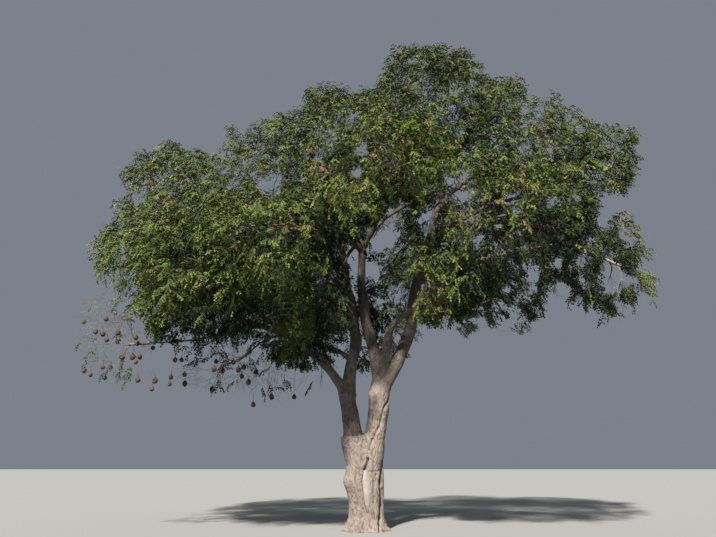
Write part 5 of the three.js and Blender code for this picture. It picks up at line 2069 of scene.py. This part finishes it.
def pods_on(lines, seed):
    """Pairs of pods that hang from the middle of some of the shoots."""
    chance = np.random.default_rng(seed)
    lines = lines[chance.random(len(lines)) < POD_SHARE]
    feet = np.repeat(lines[:, 2], 2, axis=0) + chance.normal(0, POD_SCATTER, (2 * len(lines), 3))
    swing = chance.normal(0, POD_SWING, feet.shape)
    swing[:, 2] = -1
    drop = unit(swing)
    bend = unit(np.cross(drop, chance.normal(size=feet.shape)))
    length = chance.uniform(*POD_LENGTH, len(feet))
    t = np.linspace(0, 1, len(POD_SWELLS))[None, :, None]
    curved = drop[:, None] * t + bend[:, None] * POD_BEND * t * (1 - t)
    pods = feet[:, None] + curved * length[:, None, None]
    radii = np.broadcast_to(POD_RADIUS * np.array(POD_SWELLS), pods.shape[:2])
    keep = ~hidden_from_view(pods[:, 3]) & ~outside_box(pods[:, -1])
    return tubes(pods[keep], radii[keep], POD_SIDES)


pod_material, shader, maker = new_material("pod_shell", 0.7)
coordinates = maker.node("TexCoord", {}, {}, "Object")
blotches = noise_texture(maker, coordinates, 14.0, 3.0)
stops = [(0.38, linear(104, 74, 48)), (0.62, linear(160, 120, 78))]
feed(shader, "Base Color", coloured(maker, blotches, stops))
leafy = [lines for name, lines in groups.items() if not is_bare(name)]
pods = mesh_object("pods", *pods_on(np.vstack(leafy), POD_SEED))
pods.data.materials.append(pod_material)
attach(pods, "root")
print("pod triangles:", len(pods.data.polygons))

# %% [markdown]
# ## Grass nests
#
# About forty small nests hang from the bare twigs low on the left. Each is a drop of woven grass with a neck
# at the top and an entrance underneath. One is shaped from a sphere: its top faces are extruded to a neck,
# and a few low faces are inset and pushed in for the entrance. Loose straws are laid round it, and copies
# hang on thin strands.

# %% Model one nest
NEST_RADIUS = 0.078
NEST_HALF_HEIGHT = 0.085
NEST_NECK = ((0.3, 0.6), (0.35, 0.45))  # each step up, as a share of the height, and how far it narrows
NEST_TOP = 0.8  # faces above this share of the half height are drawn out to the neck
ENTRANCE_RIM = 0.008
ENTRANCE_PUSH = (0, 0.025, 0.035)
STRAWS = 44
STRAW_POINTS = 4
STRAW_RADIUS = 0.0022
STRAW_SEED = 5


def nest_body():
    nothing_selected()
    bpy.ops.mesh.primitive_uv_sphere_add(segments=14, ring_count=9, radius=1)
    body = bpy.context.object
    bpy.ops.transform.resize(value=(NEST_RADIUS, NEST_RADIUS, NEST_HALF_HEIGHT))
    bpy.ops.object.transform_apply(location=True, rotation=True, scale=True)
    edit_select(body, lambda centre, normal: centre.z > NEST_HALF_HEIGHT * NEST_TOP)
    at = NEST_HALF_HEIGHT
    for rise, narrow in NEST_NECK:
        step = rise * NEST_HALF_HEIGHT
        at += step
        bpy.ops.mesh.extrude_region_move(TRANSFORM_OT_translate={"value": (0, 0, step)})
        bpy.ops.transform.resize(value=(narrow, narrow, 1), center_override=(0, 0, at))
    bpy.ops.object.mode_set(mode="OBJECT")
    edit_select(body, lambda centre, normal: normal.y < -0.35 and -0.9 < normal.z < -0.45)
    bpy.ops.mesh.inset(thickness=ENTRANCE_RIM)
    bpy.ops.mesh.extrude_region_move(TRANSFORM_OT_translate={"value": ENTRANCE_PUSH})
    bpy.ops.object.mode_set(mode="OBJECT")
    return body


def straws(chance):
    """Short bent straws that run round the nest, some with a free end."""
    turn = chance.uniform(0, FULL_TURN, STRAWS)[:, None]
    low = chance.uniform(-0.9, 0.75, STRAWS)[:, None]
    t = np.linspace(0, 1, STRAW_POINTS)[None, :]
    angle = turn + t * chance.uniform(0.7, 1.6, (STRAWS, 1))
    height = low + t * chance.uniform(-0.5, 0.5, (STRAWS, 1))
    out = np.sqrt(np.clip(1 - height**2, 0.12, 1)) * (1.0 + 0.16 * chance.random((STRAWS, 1)) * t**2 * 2)
    x, y = np.cos(angle) * out * NEST_RADIUS, np.sin(angle) * out * NEST_RADIUS
    lines = np.stack([x, y, height * NEST_HALF_HEIGHT], axis=2)
    return tubes(lines, np.full(lines.shape[:2], STRAW_RADIUS), 3)


body = nest_body()
body_corners = vertex_array(body)
body_corners *= 1 + 0.3 * smooth_noise(body_corners, 22.0, 2.0)[:, None]
body.data.calc_loop_triangles()
body_faces = np.array([triangle.vertices for triangle in body.data.loop_triangles])
bpy.data.objects.remove(body)
nest_top = body_corners[:, 2].max()
NEST_MESH = stacked([(body_corners, body_faces), straws(np.random.default_rng(STRAW_SEED))])
print("one nest:", len(NEST_MESH[1]), "triangles")

# %% The nests' places
NESTS = [
    # x and z on the trunk's plane
    (-7.0, 4.89), (-6.69, 4.64), (-6.5, 4.59), (-6.39, 4.44), (-6.13, 4.62), (-6.11, 4.41), (-5.67, 4.5),
    (-5.63, 4.36), (-5.97, 4.01), (-5.71, 4.01), (-5.53, 4.01), (-5.62, 3.89), (-6.87, 3.68), (-6.7, 3.58),
    (-6.42, 3.76), (-6.23, 3.76), (-6.34, 3.5), (-5.53, 3.45), (-5.11, 3.43), (-5.17, 3.23), (-4.75, 3.35),
    (-4.73, 3.52), (-4.38, 3.36), (-4.4, 3.58), (-4.66, 3.94), (-4.5, 3.94), (-3.69, 3.72), (-3.65, 3.9),
    (-3.49, 3.68), (-3.22, 3.88), (-3.09, 3.7), (-2.96, 3.76), (-3.0, 3.54), (-2.66, 3.64), (-2.83, 3.4),
    (-3.71, 3.22), (-2.25, 3.04), (-1.71, 3.04), (-2.69, 2.86), (-2.49, 4.31), (-6.46, 4.97), (-5.23, 4.24),
]
print("places for nests:", len(NESTS))

# %% Hang the nests
NEST_DEPTHS = (-2.0, -0.2)
DEPTHS_TRIED = 10
NEST_SIZES = (0.56, 0.8)
NEST_SEED = 4100
STRAND_RADIUS = 0.004
STRAND_DROP = 0.1  # a twig at least this far above a nest is best
NEST_CARRIERS = [*BARE_MASSES, "left_low", "left_inner", "left_tip", "front_far_left"]


def hang_nests(seed):
    """Copies of the nest, each at the depth where a twig is nearest, and a strand up to that twig."""
    chance = np.random.default_rng(seed)
    nest_twigs = [twig for name in NEST_CARRIERS for twig in mass_twigs[name]]
    twig_points = np.vstack([twig.line.at(np.linspace(0.3, 1, 6)) for twig in nest_twigs])
    corners, faces = NEST_MESH
    parts, strands = [], []
    for x, z in NESTS:
        depths = np.linspace(*NEST_DEPTHS, DEPTHS_TRIED)
        tops = np.array([at_depth(x, z, depth) for depth in depths])
        away = twig_points[None] - tops[:, None]
        cost = np.linalg.norm(away * (1, 1, 0.6), axis=2) + 3 * np.maximum(STRAND_DROP - away[..., 2], 0)
        which, twig = np.unravel_index(cost.argmin(), cost.shape)
        size, turn = chance.uniform(*NEST_SIZES), chance.uniform(0, FULL_TURN)
        cosine, sine = math.cos(turn), math.sin(turn)
        spin = np.array([[cosine, -sine, 0], [sine, cosine, 0], [0, 0, 1]])
        place = tops[which]
        parts.append((corners * size @ spin.T + place, faces))
        neck = place + np.array([0, 0, nest_top * size * 0.95])
        start = twig_points[twig]
        over = np.array([neck[0], neck[1], max(start[2], neck[2] + STRAND_DROP)])
        t = np.linspace(0, 1, TWIG_POINTS)[:, None]
        strands.append((1 - t) ** 2 * start + 2 * t * (1 - t) * over + t**2 * neck)
    strands = np.array(strands)[:, ::-1]
    parts.append(tubes(strands, np.full(strands.shape[:2], STRAND_RADIUS), 3))
    return stacked(parts)


straw, shader, maker = new_material("nest_straw", 0.85)
coordinates = maker.node("TexCoord", {}, {}, "Object")
wisps = noise_texture(maker, coordinates, 60.0, 4.0, 0.7)
stops = [(0.35, linear(52, 40, 29)), (0.5, linear(88, 68, 48)), (0.66, linear(124, 99, 71))]
feed(shader, "Base Color", coloured(maker, wisps, stops))
feed(shader, "Normal", bumped(maker, wisps, 0.8, 0.006))
nests = mesh_object("nests", *hang_nests(NEST_SEED))
nests.data.materials.append(straw)
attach(nests, "root")
print("nests:", len(NESTS), "triangles:", len(nests.data.polygons))
